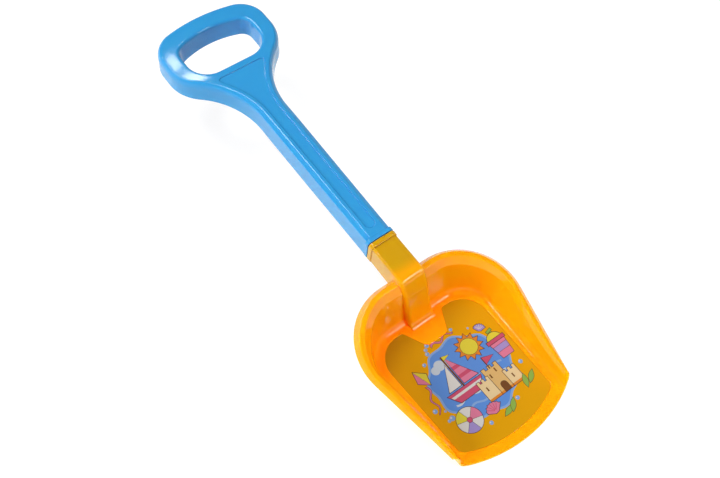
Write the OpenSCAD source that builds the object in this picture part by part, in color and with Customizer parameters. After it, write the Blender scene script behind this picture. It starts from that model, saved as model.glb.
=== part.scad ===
// Children's sand shovel: a moulded scoop, a moulded D-grip handle that plugs into it,
// and a printed film label in the scoop's floor. Millimetres, +Z up, X towards the digging
// edge, the scoop's floor flat on z = 0, origin under the middle of the whole shovel.

/* [Scoop floor] */
// Length of the floor from the back crease to the middle of the digging edge
floor_len = 144; // [120:1:180]
// Width of the floor at its widest, behind the middle
floor_w = 123; // [110:1:140]
// Width of the floor at the two front corners
floor_front_w = 115; // [104:1:118]
// How far the digging edge bulges past the front corners
front_bulge = 13.2; // [8:0.1:18]
// Radius of the floor's back corners in plan
floor_corner_r = 30; // [22:1:40]
// Thickness of the scoop's moulded wall
scoop_t = 2; // [1.6:0.1:2.2]
// Inside radius between floor and walls
crease_r = 7; // [5:0.5:8]

/* [Scoop rim] */
// How far the rim reaches behind the floor's back crease
rim_reach = 21.7; // [20:0.1:26]
// Widest width over the rim
rim_span = 160.5; // [156:0.5:170]
// Width over the rim at its front tips
rim_front_span = 127.4; // [125:0.2:134]
// Radius of the rim's back corners in plan
rim_corner_r = 55; // [48:1:58]
// How far the rim's front tips stand behind the floor's front corners
tip_setback = 6.6; // [6:0.1:10]
// Height of the rim above the floor at the back
rim_back_h = 47; // [42:1:52]
// Height of the rim above the floor at its front tips
rim_front_h = 16.5; // [14:0.5:20]
// Width of the whole rim at the back, from the top of the wall outwards
rim_back_w = 16; // [14:0.5:17]
// Width of the whole rim just behind the front tips
rim_front_w = 8; // [7.8:0.1:8.6]
// Width of the rim's outer skirt as a share of the rim's width
skirt_share = 0.36; // [0.34:0.01:0.38]
// Drop of the skirt as a share of its own width
skirt_drop_share = 1.1; // [0.9:0.05:1.15]
// Width of the sloping ledge inside the rim as a share of the rim's width
ledge_share = 0.33; // [0.3:0.01:0.34]
// Drop of the ledge as a share of its own width
ledge_drop_share = 1.3; // [1.1:0.05:1.35]
// Edge radius of the rim and the other moulded edges of the scoop
scoop_edge_r = 1; // [0.6:0.1:1.4]

/* [Neck and socket] */
// Distance from the back crease to the joint with the handle, along the floor
joint_reach = 53.5; // [48:0.5:70]
// Height of the shaft's top face above the floor at the joint
joint_h = 59; // [56:0.5:70]
// Angle by which the handle rises from the floor's plane
handle_rise = 5.4; // [3:0.1:8]
// Width of the neck
neck_w = 26; // [24:0.5:30]
// How far the neck's top lies below the shaft's top face
neck_step = 1.2; // [0.8:0.1:2]
// Depth of the neck from the shaft's top face to its underside
neck_depth = 26; // [23:0.5:28]
// Edge radius along the neck and the hump
neck_edge_r = 2.6; // [1.5:0.1:4]
// Distance from the hump's top front edge back to the crease
hump_setback = 8; // [5:0.5:10]
// Height of the bend in the hump's front face
hump_bend_h = 37; // [30:1:42]
// Distance from the bend back to the crease
hump_bend_setback = 1; // [0:0.5:3]
// How far the hump's foot stands in front of the crease
hump_foot = 8.5; // [7:0.5:12]
// Length of the lip round the socket's mouth
lip_len = 4.6; // [3:0.2:7]
// How far the lip and the handle's collar stand proud of the neck
lip_proud = 1; // [0.6:0.1:1.4]
// Corner radius of the lip and collar
lip_corner_r = 4.5; // [3:0.5:6]
// Wall thickness round the socket's bore
socket_wall = 2.4; // [2:0.1:3]

/* [Handle] */
// Length of the handle from the joint to the end of the grip
handle_len = 303.8; // [280:0.2:340]
// Width over the grip
grip_w = 117.8; // [110:0.2:124]
// Radius of the grip's gently curved end
grip_end_r = 159; // [140:1:200]
// Radius of the grip's two outer corners
grip_corner_r = 29; // [18:0.5:32]
// Straight stretch along each side of the grip
grip_flat = 12.3; // [8:0.1:26]
// Radius of the grip's shoulders, towards the shaft
grip_shoulder_r = 39.4; // [30:0.2:50]
// Radius of the hollow curve from grip to shaft
web_r = 83; // [60:0.5:90]
// Width of the shaft where it leaves the grip's web
shaft_w = 27.2; // [25:0.2:30]
// Width of the shaft at the joint
shaft_end_w = 25; // [24:0.2:25.4]
// Depth of the grip
grip_depth = 21.5; // [19:0.5:24]
// Depth of the shaft
shaft_depth = 25; // [22:0.2:26]
// Wall thickness of the handle's sides
handle_wall = 2.2; // [1.8:0.1:2.6]
// Thickness of the handle's top plate
handle_top = 2.4; // [2:0.1:3]
// Width of the sloping shoulder round the handle's top face
shoulder_w = 4.3; // [3:0.1:5]
// Drop of that shoulder round the grip
grip_shoulder_drop = 5.5; // [3:0.1:7]
// Drop of that shoulder along the shaft
shaft_shoulder_drop = 2; // [1:0.1:3]
// Outward lean of the handle's walls from top to bottom
handle_draft = 0.7; // [0.3:0.1:1]
// Distance from the handle's outline to the sunk panel in its top face
panel_inset = 7.6; // [7:0.1:8.4]
// Depth of the sunk panel
panel_sink = 0.8; // [0.4:0.1:1]
// Margin between the finger hole and the sunk panel
panel_margin = 5.6; // [4.6:0.1:9]
// Distance from the joint to the end of the sunk panel
panel_end = 12; // [8:0.5:20]
// Corner radius of the sunk panel
panel_corner_r = 4.5; // [3:0.5:6]

/* [Finger hole] */
// Length of the finger hole along the handle
hole_len = 57; // [50:1:60]
// Width of the finger hole
hole_w = 86; // [78:1:90]
// Solid bar between the finger hole and the end of the grip
grip_bar = 17.4; // [14:0.2:20]
// Radius of the hole's gently curved side at the grip's end
hole_end_r = 96; // [80:2:130]
// Radius of the hole's outer corners
hole_corner_r = 16; // [12:1:20]
// Radius of the hole's corners by the web
hole_base_r = 25.5; // [18:0.5:28]
// Rounding of the hole's upper edge
hole_edge_r = 3; // [2:0.2:4]

/* [Ribs under the handle] */
// Thickness of the ribs
rib_t = 1.6; // [1.2:0.1:2.2]
// How far the ribs stay inside the walls' lower edge
rib_setback = 2.5; // [1.5:0.1:4]
// Spacing of the cross ribs along the shaft
rib_pitch = 25; // [18:1:40]
// Angle between the ribs round the grip
grip_rib_step = 30; // [20:5:45]

/* [Spigot] */
// Length of the spigot inside the socket
spigot_len = 38; // [30:1:42]
// Clearance between spigot and socket on every side
fit_gap = 0.3; // [0.2:0.05:0.4]
// Width of the dark groove between collar and lip
joint_groove = 0.8; // [0.4:0.1:1.2]
// Length of the collar at the end of the shaft
collar_len = 4; // [3:0.2:6]
// Distance from the joint to the middle of the snap catch
catch_at = 16; // [13:0.5:20]
// Width of the snap catch
catch_w = 9; // [6:0.5:12]
// Length of the snap catch along the shaft
catch_len = 6; // [4:0.5:7]
// Height of the snap catch
catch_rise = 1.9; // [1.4:0.1:2.2]
// How far the seat between collar and lip is set in from them
seat_inset = 1.9; // [1.4:0.1:2.4]

/* [Label] */
// Margin between the label and the floor's side creases
label_margin = 8.2; // [7:0.1:12]
// Margin between the label and the floor's front corners
label_corner_margin = 6.8; // [6.5:0.1:10]
// Margin between the label and the digging edge
label_front_margin = 10; // [8:0.5:16]
// Radius of the label's back corners
label_corner_r = 25; // [18:1:26]
// Radius of the label's front corners
label_front_r = 8; // [5:0.5:12]
// Thickness of the printed film
label_t = 0.3; // [0.2:0.05:0.4]
// Depth of the recess that holds the label
label_sink = 0.6; // [0.4:0.05:0.9]
// Clearance round the label in its recess
label_gap = 0.3; // [0.2:0.05:0.5]
// Distance from the crease to the front of the platform round the hump's foot
platform_len = 30.8; // [27:0.2:34]
// Half width of the platform's front, to the middles of its corner arcs
platform_half = 7.5; // [6:0.5:9]
// Radius of the platform's front corners
platform_r = 6; // [4:0.5:8]
// Angle by which the platform's sides widen towards the back
platform_flare = 64.3; // [60:0.1:70]
// Radius of the label's two inner back points
ear_r = 3; // [2:0.5:5]

/* [Hidden] */

// One overrun serves every cut
over = 1;
// Segments on the round stretches of an outline
corner_n = 12;
side_n = 7;
back_n = 3;
crease_n = 4;
// Length of a short step beside an inner bend of the moulded wall, as a share of its thickness
bend_share = 0.06;
// Width of the strip of floor inside the crease, as a share of the floor's corner radius
strip_share = 0.4;
// Rings of the handle's shoulder: share of its width and share of its drop
shoulder_shares = [[0, 1.25], [0.07, 1.04], [0.22, 0.84], [0.82, 0.08], [0.92, 0.02], [1, 0]];
// Where the shoulder turns shallow and the web grows deeper, as shares of the handle's length
drop_shares = [0.78, 0.45];
deepen_shares = [0.8, 0.45];
// First corner of the sunk panel: where its arc ends, and its centre's inset as a share of its radius
panel_corner_a = 110;
panel_corner_share = 0.5;
// Part of the snap catch's length that its ramp takes
catch_ramp_share = 0.75;

// Points of an arc about a centre
function arc(c, r, from, to, n) =
    [for (i = [0:n]) let (a = from + (to - from) * i / n) c + r * [cos(a), sin(a)]];

// Value between two ends
function mix(a, b, share) = a + (b - a) * share;

// Share of the way from one place to another, held between 0 and 1
function ramp(x, from, to) = min(1, max(0, (x - from) / (to - from)));

// The same points on the other side of the middle line, in reverse order
function mirrored(half) = [for (i = [len(half) - 1:-1:0]) [half[i].x, -half[i].y]];

// Half of a U outline: straight side from its front point, back corner, straight back
function u_half(front, back_x, half_w, r) =
    let (c = [back_x + r, half_w - r])
    let (to_front = front - c)
    let (a = atan2(to_front.y, to_front.x) + acos(r / norm(to_front)))
    let (touch = c + r * [cos(a), sin(a)])
    concat([for (i = [0:side_n - 1]) mix(front, touch, i / side_n)],
           arc(c, r, a, 180, corner_n),
           [for (i = [1:back_n]) [back_x, c.y * (1 - i / back_n)]]);

// Digging edge: an arc through the front corners
front_half = floor_front_w / 2;
front_r = (front_half * front_half + front_bulge * front_bulge) / (2 * front_bulge);
front_c = [floor_len - front_r, 0];
function on_front(y) = [front_c.x + sqrt(front_r * front_r - y * y), y];

// Plan outlines of the scoop: crease, rim and the inner line where the walls' loft ends
strip_w = floor_corner_r * strip_share;
crease = u_half(on_front(front_half), 0, floor_w / 2, floor_corner_r);
inner = u_half(on_front(front_half - strip_w), strip_w, floor_w / 2 - strip_w,
               floor_corner_r - strip_w);
rim_tip = [on_front(front_half).x - tip_setback, rim_front_span / 2];
rim = u_half(rim_tip, -rim_reach, rim_span / 2, rim_corner_r);

function rim_share(x) = ramp(x, rim_tip.x, -rim_reach);
function rim_h(x) = mix(rim_front_h, rim_back_h, rim_share(x));
function rim_w(x) = mix(rim_front_w, rim_back_w, rim_share(x));

// Pairs of upper and lower points round an edge of the moulded wall, from direction a to b
function wall_bend(p, a, b) =
    let (mid = (a + b) / 2, out = [sin(mid), -cos(mid)] / cos((a - b) / 2))
    let (c = p + scoop_edge_r * out, u = p + scoop_t * out, q = scoop_t * bend_share)
    [[c + scoop_edge_r * [-sin(a), cos(a)], u - q * [cos(a), sin(a)]],
     [c + scoop_edge_r * [-sin(mid), cos(mid)], u],
     [c + scoop_edge_r * [-sin(b), cos(b)], u + q * [cos(b), sin(b)]]];

// Section of the moulded wall as pairs of upper and lower points [outward, up]
function wall_section(reach, h, w, strip) =
    let (skirt_w = w * skirt_share, tip = [reach, h - skirt_w * skirt_drop_share])
    let (ledge = w * ledge_share * [1, ledge_drop_share])
    let (wall_top = [reach - w, h - ledge.y], slope = atan2(wall_top.y, wall_top.x))
    let (ledge_a = atan(ledge_drop_share), skirt_a = -atan(skirt_drop_share))
    concat(
        [[[-strip, 0], [-strip, -scoop_t]]],
        [for (i = [0:crease_n])
            let (a = slope * i / crease_n, d = [sin(a), -cos(a)])
            let (c = [-crease_r * tan(slope / 2), crease_r])
            [c + crease_r * d, c + (crease_r + scoop_t) * d]],
        wall_bend(wall_top, slope, ledge_a),
        wall_bend(wall_top + ledge, ledge_a, 0),
        wall_bend([reach - skirt_w, h], 0, skirt_a),
        [[tip, tip + scoop_t * [sin(skirt_a), -cos(skirt_a)]]]);

// One station of the walls' loft in space, as a closed ring: upper points, then lower ones
function station(i) =
    let (c = crease[i], r = rim[i], n = inner[i])
    let (out = (r - c) / norm(r - c), in = (c - n) / norm(c - n))
    let (pairs = wall_section(norm(r - c), rim_h(r.x), rim_w(r.x), norm(c - n)))
    let (place = function (p) let (xy = c + p[0] * (p[0] < 0 ? in : out)) [xy.x, xy.y, p[1]])
    concat([for (p = pairs) place(p[0])], [for (k = [len(pairs) - 1:-1:0]) place(pairs[k][1])]);

// Floor, walls and rim as one skin: the stations' loft, its two end faces and the flat floor
module scoop_shell() {
    half = [for (i = [0:len(crease) - 1]) station(i)];
    other = [for (i = [len(half) - 2:-1:0]) [for (p = half[i]) [p.x, -p.y, p.z]]];
    rings = concat(half, other);
    n = len(rings[0]);
    m = len(rings);
    last = (m - 1) * n;
    a = asin((front_half - strip_w) / front_r);
    edge = [for (i = [1:corner_n - 1])
        let (turn = mix(-a, a, i / corner_n)) front_c + front_r * [cos(turn), sin(turn)]];
    e = len(edge);
    base = m * n;
    points = concat([for (ring = rings) each ring], [for (p = edge) [p.x, p.y, 0]],
                    [for (p = edge) [p.x, p.y, -scoop_t]]);
    sides = [for (k = [0:m - 2]) for (j = [0:n - 2])
        let (a = k * n + j, b = a + 1)
        each [[a, b + n, b], [a, a + n, b + n]]];
    caps = [for (j = [0:n / 2 - 2])
        let (a = j, b = j + 1, c = n - 2 - j, d = n - 1 - j)
        each [[a, c, d], [a, b, c], [last + a, last + c, last + b], [last + a, last + d, last + c]]];
    floor_top = concat([for (i = [e - 1:-1:0]) base + i], [for (k = [m - 1:-1:0]) k * n]);
    floor_under = concat([for (k = [0:m - 1]) k * n + n - 1], [for (i = [0:e - 1]) base + e + i]);
    lip_top = concat([last], [for (i = [0:e - 1]) base + i], [0]);
    lip_under = concat([last + n - 1], [for (i = [0:e - 1]) base + e + i], [n - 1]);
    lip = [for (i = [0:e]) [lip_under[i], lip_top[i], lip_top[i + 1], lip_under[i + 1]]];
    polyhedron(points = points, faces = concat(sides, caps, [floor_top, floor_under], lip), convexity = 10);
}

// Places its children in the handle's frame: x = 0 at the joint, z = 0 on the top face
module on_shaft() {
    translate([-joint_reach, 0, joint_h])
        rotate([0, handle_rise, 0])
            children();
}

// Rounded rectangle across the shaft, from its top height to its bottom height
module across(w, top, bottom, r, from, to) {
    n = crease_n;
    x = w / 2 - r;
    outline = concat(arc([x, top - r], r, 0, 90, n), arc([-x, top - r], r, 90, 180, n),
                     arc([-x, bottom + r], r, 180, 270, n), arc([x, bottom + r], r, 270, 360, n));
    translate([from, 0, 0])
        rotate([90, 0, 90])
            linear_extrude(to - from)
                polygon(outline);
}

// Lines of the neck's top and underside and of the back wall's inner face, in the scoop's frame
function on_neck(x, depth) = joint_h - depth / cos(handle_rise) - (x + joint_reach) * tan(handle_rise);
function neck_top(x) = on_neck(x, neck_step);
function neck_bottom(x) = on_neck(x, neck_depth);
function wall_x(z) = -back_wall.x * z / back_wall.y;
back_wall = [rim_reach - rim_back_w, rim_back_h - rim_back_w * ledge_share * ledge_drop_share];
back_slope = atan2(back_wall.y, back_wall.x);
back_crease_c = [crease_r * tan(back_slope / 2), crease_r];

hump_top = [-hump_setback, neck_top(-hump_setback)];
hump_bend = [-hump_bend_setback, hump_bend_h];
hump_toe = [hump_foot, 0];
hump_low = neck_bottom(0);

// Rounds the corner b of the path a, b, c
function rounded(a, b, c, r, n) =
    let (u = (a - b) / norm(a - b), v = (c - b) / norm(c - b))
    let (half = acos(u * v) / 2)
    let (m = b + r / sin(half) * (u + v) / norm(u + v))
    let (p = b + u * r / tan(half), q = b + v * r / tan(half))
    let (from = atan2((p - m).y, (p - m).x), turn = atan2((q - m).y, (q - m).x) - from)
    let (sweep = turn > 180 ? turn - 360 : turn < -180 ? turn + 360 : turn)
    arc(m, r, from, from + sweep, n);

module upright(w, outline) {
    translate([0, w / 2, 0])
        rotate([90, 0, 0])
            linear_extrude(w)
                polygon(outline);
}

module hump() {
    back = [wall_x(rim_back_h) - rim_back_w / 2, neck_top(wall_x(rim_back_h) - rim_back_w / 2)];
    toe_out = hump_toe + [crease_r, 0];
    profile = concat([back], rounded(back, hump_top, hump_bend, neck_edge_r, crease_n),
                     rounded(hump_top, hump_bend, hump_toe, neck_edge_r, crease_n),
                     rounded(hump_bend, hump_toe, toe_out, crease_r - over, crease_n),
                     [[toe_out.x, -scoop_t / 2]],
                     arc(back_crease_c, crease_r + scoop_t / 2, 270, 270 - back_slope, crease_n),
                     [[wall_x(hump_low) - scoop_t / 2, hump_low], [back.x, neck_bottom(back.x)]]);
    intersection() {
        upright(neck_w, profile);
        plan_limit();
        on_shaft()
            across(neck_w, -neck_step, -2 * joint_h, neck_edge_r, 0, 2 * joint_reach);
    }
}

// Rounds the hump's upright front corners in plan
module plan_limit() {
    r = neck_edge_r;
    x = hump_foot + crease_r;
    translate([0, 0, -scoop_t])
        linear_extrude(joint_h + rim_back_h)
            polygon(concat(arc([x - r, neck_w / 2 - r], r, 90, 0, crease_n),
                           arc([x - r, r - neck_w / 2], r, 0, -90, crease_n),
                           [[-joint_reach, -neck_w / 2], [-joint_reach, neck_w / 2]]));
}

bore_w = neck_w - 2 * socket_wall;
bore_top = -neck_step - socket_wall;
bore_bottom = socket_wall - neck_depth;

// The socket's bore, which goes on into the hump's hollow, open downwards and to the back
module socket_hollow() {
    bore_end = joint_reach - hump_setback - socket_wall / 2;
    on_shaft()
        translate([-over, -bore_w / 2, bore_bottom])
            cube([bore_end + over, bore_w, bore_top - bore_bottom]);
    drop = socket_wall / cos(handle_rise);
    rear_x = hump_top.x - 2 * socket_wall;
    behind_x = wall_x(hump_low) - scoop_t - over;
    upright(bore_w, [[behind_x, -scoop_t - over], [behind_x, hump_low],
                     [rear_x, neck_bottom(rear_x) + drop], [rear_x, neck_top(rear_x) - drop],
                     hump_top - [socket_wall, drop], hump_bend - [socket_wall, 0],
                     [hump_toe.x - socket_wall, -scoop_t - over]]);
}

module socket_window() {
    on_shaft()
        translate([catch_at - catch_len / 2 - fit_gap, -catch_w / 2 - fit_gap, -neck_depth - over])
            cube([catch_len + 2 * fit_gap, catch_w + 2 * fit_gap, socket_wall + 2 * over]);
}

// Outline of the label, grown by a margin
function label_outline(grow) =
    let (front = label_half_front, c = label_c)
    let (ear = label_ear, flare = platform_flare)
    let (half = concat(
        arc([platform_len - platform_r, platform_half], platform_r - grow, 0, flare, crease_n),
        arc(ear, ear_r + grow, 180 + flare, 180, crease_n),
        arc(c, label_corner_r + grow, 180, label_side_a, corner_n),
        arc(front, label_front_r + grow, label_side_a, label_front_a, crease_n),
        [for (i = [1:crease_n])
            let (a = label_front_a * (1 - i / crease_n))
            label_arc_c + (label_arc_r + grow) * [cos(a), sin(a)]]))
    concat(half, [for (i = [len(half) - 2:-1:0]) [half[i].x, -half[i].y]]);

// Centres and angles of the label's arcs
label_w = floor_w - 2 * label_margin;
label_front_w = floor_front_w - 2 * label_corner_margin;
label_arc_r = front_r - 2 * label_front_margin;
label_arc_c = [floor_len - label_front_margin - label_arc_r, 0];
label_half_front = let (y = label_front_w / 2 - label_front_r, d = label_arc_r - label_front_r)
    [label_arc_c.x + sqrt(d * d - y * y), y];
label_front_a = asin(label_half_front.y / (label_arc_r - label_front_r));
ear_out = [cos(platform_flare), sin(platform_flare)];
ear_along = [-ear_out.y, ear_out.x];
label_back_x = label_margin;
label_c = [label_back_x + label_corner_r, label_w / 2 - label_corner_r];
ear_base = [platform_len - platform_r, platform_half] + (platform_r + ear_r) * ear_out;
label_ear = let (x = label_back_x + ear_r) ear_base + ear_along * (x - ear_base.x) / ear_along.x;
label_side_a = let (d = label_half_front - label_c, gap = label_corner_r - label_front_r)
    atan2(d.y, d.x) + acos(gap / norm(d));

module label_plate(grow, bottom, top) {
    translate([0, 0, bottom])
        linear_extrude(top - bottom)
            polygon(label_outline(grow));
}

module scoop_in_place() {
    difference() {
        union() {
            scoop_shell();
            hump();
            on_shaft() {
                across(neck_w, -neck_step, -neck_depth, neck_edge_r, joint_groove / 2 + over, neck_reach);
                across(lip_w, lip_top, lip_bottom, lip_corner_r,
                       joint_groove / 2, joint_groove / 2 + lip_len);
            }
        }
        socket_hollow();
        socket_window();
        label_plate(label_gap, -label_sink, over);
    }
}

lip_w = neck_w + 2 * lip_proud;
lip_top = lip_proud - neck_step / 2;
lip_bottom = -neck_depth - lip_proud;
neck_reach = joint_reach - rim_reach + rim_back_w;

// Height of the handle's lower edge and drop of its shoulder at a place along it
function depth_at(x) =
    mix(grip_depth, shaft_depth, ramp(-x / handle_len, deepen_shares[0], deepen_shares[1]));
function drop_at(x) =
    mix(grip_shoulder_drop, shaft_shoulder_drop, ramp(-x / handle_len, drop_shares[0], drop_shares[1]));

// Centres of the handle outline's arcs
end_c = [grip_end_r - handle_len, 0];
corner_y = grip_w / 2 - grip_corner_r;
corner_c = [end_c.x - sqrt(pow(grip_end_r - grip_corner_r, 2) - corner_y * corner_y), corner_y];
shoulder_c = [corner_c.x + grip_flat, grip_w / 2 - grip_shoulder_r];
web_y = shaft_w / 2 + web_r;
web_c = [shoulder_c.x + sqrt(pow(grip_shoulder_r + web_r, 2) - pow(web_y - shoulder_c.y, 2)), web_y];
end_a = 180 - asin(corner_y / (grip_end_r - grip_corner_r));
web_a = atan2(web_y - shoulder_c.y, web_c.x - shoulder_c.x);

// Half of the handle's outline, set in from its edge, from the grip's end to a place near the joint
function handle_half(inset, end_x) = concat(
    arc(end_c, grip_end_r - inset, 180, end_a, crease_n),
    arc(corner_c, grip_corner_r - inset, end_a, 90, corner_n),
    arc(shoulder_c, grip_shoulder_r - inset, 90, web_a, corner_n),
    [for (i = [1:corner_n])
        let (a = mix(180 + web_a, 270, i / corner_n))
        web_c + (web_r + inset) * [cos(a), sin(a)]],
    [[end_x, shaft_end_w / 2 - inset]]);

// Solid between half outlines stacked upwards; each level is [inset, function for the height]
module stack(levels, end_x) {
    halves = [for (level = levels)
        [for (p = handle_half(level[0], end_x)) [p.x, p.y, level[1](p.x)]]];
    h = len(halves[0]);
    n = 2 * h - 1;
    points = [for (half = halves)
        each concat(half, [for (i = [h - 1:-1:1]) [half[i].x, -half[i].y, half[i].z]])];
    top = (len(halves) - 1) * n;
    sides = [for (k = [0:len(halves) - 2]) for (j = [0:n - 1])
        let (a = k * n + j, b = k * n + (j + 1) % n)
        each [[a, b + n, a + n], [a, b, b + n]]];
    strips = [for (j = [1:h - 2])
        let (a = j, b = j + 1, c = n - j - 1, d = n - j)
        each [[a, c, b], [a, d, c], [top + a, top + b, top + c], [top + a, top + c, top + d]]];
    tips = [[0, n - 1, 1], [top, top + 1, top + n - 1]];
    polyhedron(points = points, faces = concat(sides, strips, tips), convexity = 10);
}

module handle_block() {
    stack(concat([[-handle_draft, function (x) -depth_at(x)]],
                 [for (s = shoulder_shares) [shoulder_w * s[0], function (x) -drop_at(x) * s[1]]]),
          -joint_groove / 2);
}

module handle_hollow() {
    clear = handle_wall;
    stack([[clear - handle_draft, function (x) -depth_at(x) - over],
           [clear, function (x) -drop_at(x) - 2 * handle_top],
           [shoulder_w + clear / 2, function (x) -handle_top]],
          -joint_groove / 2 - collar_len);
}

// Outline of the finger hole, grown by a margin
hole_base_x = grip_bar + hole_len - handle_len;
hole_end_c = [hole_base_x - hole_len + hole_end_r, 0];
hole_y = hole_w / 2 - hole_corner_r;
hole_corner_c = [hole_end_c.x - sqrt(pow(hole_end_r - hole_corner_r, 2) - hole_y * hole_y), hole_y];
hole_a = 180 - asin(hole_y / (hole_end_r - hole_corner_r));
hole_base_c = [hole_base_x - hole_base_r, hole_w / 2 - hole_base_r];
function hole_outline(grow) =
    let (half = concat(arc(hole_end_c, hole_end_r + grow, 180, hole_a, crease_n),
                       arc(hole_corner_c, hole_corner_r + grow, hole_a, 90, corner_n),
                       arc(hole_base_c, hole_base_r + grow, 90, 0, corner_n)))
    concat(half, [for (i = [len(half) - 1:-1:1]) [half[i].x, -half[i].y]]);

module prism(outline, bottom, top) {
    translate([0, 0, bottom])
        linear_extrude(top - bottom)
            polygon(outline);
}

module finger_hole() {
    prism(hole_outline(-hole_edge_r), -shaft_depth - over, over);
    n = crease_n;
    rings = [for (i = [0:n])
        let (a = 90 * i / n)
        [for (p = hole_outline(-hole_edge_r * sin(a))) [p.x, p.y, -hole_edge_r * (1 - cos(a))]]];
    flare(concat([[for (p = rings[0]) p + [0, 0, over]]], rings));
}

// Solid through closed rings from the top down
module flare(rings) {
    n = len(rings[0]);
    points = [for (ring = rings) each ring];
    sides = [for (k = [0:len(rings) - 2]) for (j = [0:n - 1])
        let (a = k * n + j, b = k * n + (j + 1) % n)
        each [[a, b + n, b], [a, a + n, b + n]]];
    last = (len(rings) - 1) * n;
    caps = [[for (j = [0:n - 1]) j], [for (j = [n - 1:-1:0]) last + j]];
    polyhedron(points = points, faces = concat(sides, caps), convexity = 10);
}

// Sunk panel from the finger hole's margin down the shaft
module top_panel() {
    from = hole_base_x + panel_margin;
    to = -panel_end;
    edge = [for (p = handle_half(panel_inset, to)) if (p.x > from + panel_corner_r && p.x < to) p];
    first = edge[0];
    end_half = shaft_end_w / 2 - panel_inset;
    corner_c = [from + panel_corner_r, first.y - panel_corner_r * panel_corner_share];
    half = concat(arc(corner_c, panel_corner_r, 180, panel_corner_a, crease_n),
                  edge, arc([to - end_half, 0], end_half, 90, 0, crease_n));
    prism(concat(half, mirrored(half)), -panel_sink, over);
}

module rib_plates() {
    bottom = rib_setback - shaft_depth;
    height = shaft_depth;
    // Long middle rib and cross ribs of the shaft and web
    translate([hole_base_x, -rib_t / 2, bottom])
        cube([-hole_base_x, rib_t, height]);
    for (x = [-collar_len - rib_pitch:-rib_pitch:hole_base_x + rib_pitch / 2])
        translate([x - rib_t / 2, -grip_w / 2, bottom])
            cube([rib_t, grip_w, height]);
    // Short ribs round the grip
    translate([hole_base_x - hole_len / 2, 0, rib_setback - grip_depth])
        for (side = [-1, 1], a = [grip_rib_step / 2:grip_rib_step:180 - grip_rib_step])
            rotate(180 + side * a)
                translate([0, -rib_t / 2, 0])
                    cube([grip_w, rib_t, grip_depth]);
}

module spigot() {
    w = bore_w - 2 * fit_gap;
    top = bore_top - fit_gap;
    bottom = bore_bottom + fit_gap;
    ramp_end = catch_at + catch_len / 2 - catch_len * catch_ramp_share;
    difference() {
        translate([-collar_len, -w / 2, bottom])
            cube([collar_len + spigot_len, w, top - bottom]);
        translate([handle_wall, handle_wall - w / 2, bottom + handle_wall])
            cube([spigot_len, w - 2 * handle_wall, top - bottom - 2 * handle_wall]);
    }
    // Snap catch: a ramp towards the scoop and a square face towards the joint
    translate([0, catch_w / 2, 0])
        rotate([90, 0, 0])
            linear_extrude(catch_w)
                polygon([[catch_at - catch_len / 2, bottom + over], [catch_at + catch_len / 2, bottom + over],
                         [catch_at + catch_len / 2, bottom], [ramp_end, bottom - catch_rise],
                         [catch_at - catch_len / 2, bottom - catch_rise]]);
}

module handle_in_place() {
    on_shaft() {
        difference() {
            union() {
                handle_block();
                across(lip_w, lip_top, lip_bottom, lip_corner_r,
                       -joint_groove / 2 - collar_len, -joint_groove / 2);
            }
            finger_hole();
            difference() {
                handle_hollow();
                prism(hole_outline(handle_wall - hole_edge_r), -shaft_depth - 2 * over, over);
                rib_plates();
            }
            top_panel();
        }
        across(lip_w - 2 * seat_inset, lip_top - seat_inset, lip_bottom + seat_inset,
               lip_corner_r - seat_inset, -joint_groove / 2, joint_groove / 2);
        spigot();
    }
}

// Place in the shared frame: the floor's underside on z = 0, the box's middle on x = 0
function shaft_point(x, z) = [-joint_reach + x * cos(handle_rise) + z * sin(handle_rise),
                              joint_h - x * sin(handle_rise) + z * cos(handle_rise)];
grip_foot = shaft_point(-handle_len - handle_draft, -grip_depth);

module placed() {
    translate([-(floor_len + grip_foot.x) / 2, 0, scoop_t])
        children();
}

module scoop() {
    color("orange")
        placed()
            scoop_in_place();
}

module handle() {
    color("dodgerblue")
        placed()
            handle_in_place();
}

module label() {
    color("goldenrod")
        placed()
            label_plate(0, -label_sink, label_t - label_sink);
}

scoop();
handle();
label();
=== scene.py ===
"""Looks of a children's sand shovel: a moulded scoop, a moulded D-grip handle and a printed label.

Lengths are written in millimetres and turned into metres when a mesh is made. Three frames are used:
the scoop's (x = 0 at the back crease, z = 0 on the floor), the shaft's (x = 0 at the joint, z = 0 on
the handle's top face) and the row's, in which everything ends up.
"""

import logging
import math
import random
from dataclasses import dataclass, field
from enum import Enum
from typing import Callable, Iterable, Sequence

import bmesh
import bpy
from mathutils import Matrix, Quaternion, Vector
from mathutils.geometry import delaunay_2d_cdt


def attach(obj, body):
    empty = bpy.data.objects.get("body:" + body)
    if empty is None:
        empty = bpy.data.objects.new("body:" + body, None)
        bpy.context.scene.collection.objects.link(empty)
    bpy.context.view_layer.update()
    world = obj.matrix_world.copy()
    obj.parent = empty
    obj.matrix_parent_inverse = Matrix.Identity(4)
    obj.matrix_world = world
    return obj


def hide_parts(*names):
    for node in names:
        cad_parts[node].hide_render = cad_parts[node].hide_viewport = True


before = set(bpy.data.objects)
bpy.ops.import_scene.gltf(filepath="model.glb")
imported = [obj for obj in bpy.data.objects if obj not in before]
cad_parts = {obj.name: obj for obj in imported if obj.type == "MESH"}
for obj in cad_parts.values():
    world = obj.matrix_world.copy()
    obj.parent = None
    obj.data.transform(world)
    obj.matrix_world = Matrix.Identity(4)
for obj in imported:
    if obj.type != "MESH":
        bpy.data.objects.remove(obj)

logging.basicConfig(level=logging.INFO, format="%(levelname)s %(name)s: %(message)s")
log = logging.getLogger("shovel")

MM = 0.001
CRISP_FROM = 32.0
Point2 = tuple[float, float]
Point3 = tuple[float, float, float]
Tree = bpy.types.NodeTree
Socket = bpy.types.NodeSocket


# Colours


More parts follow.
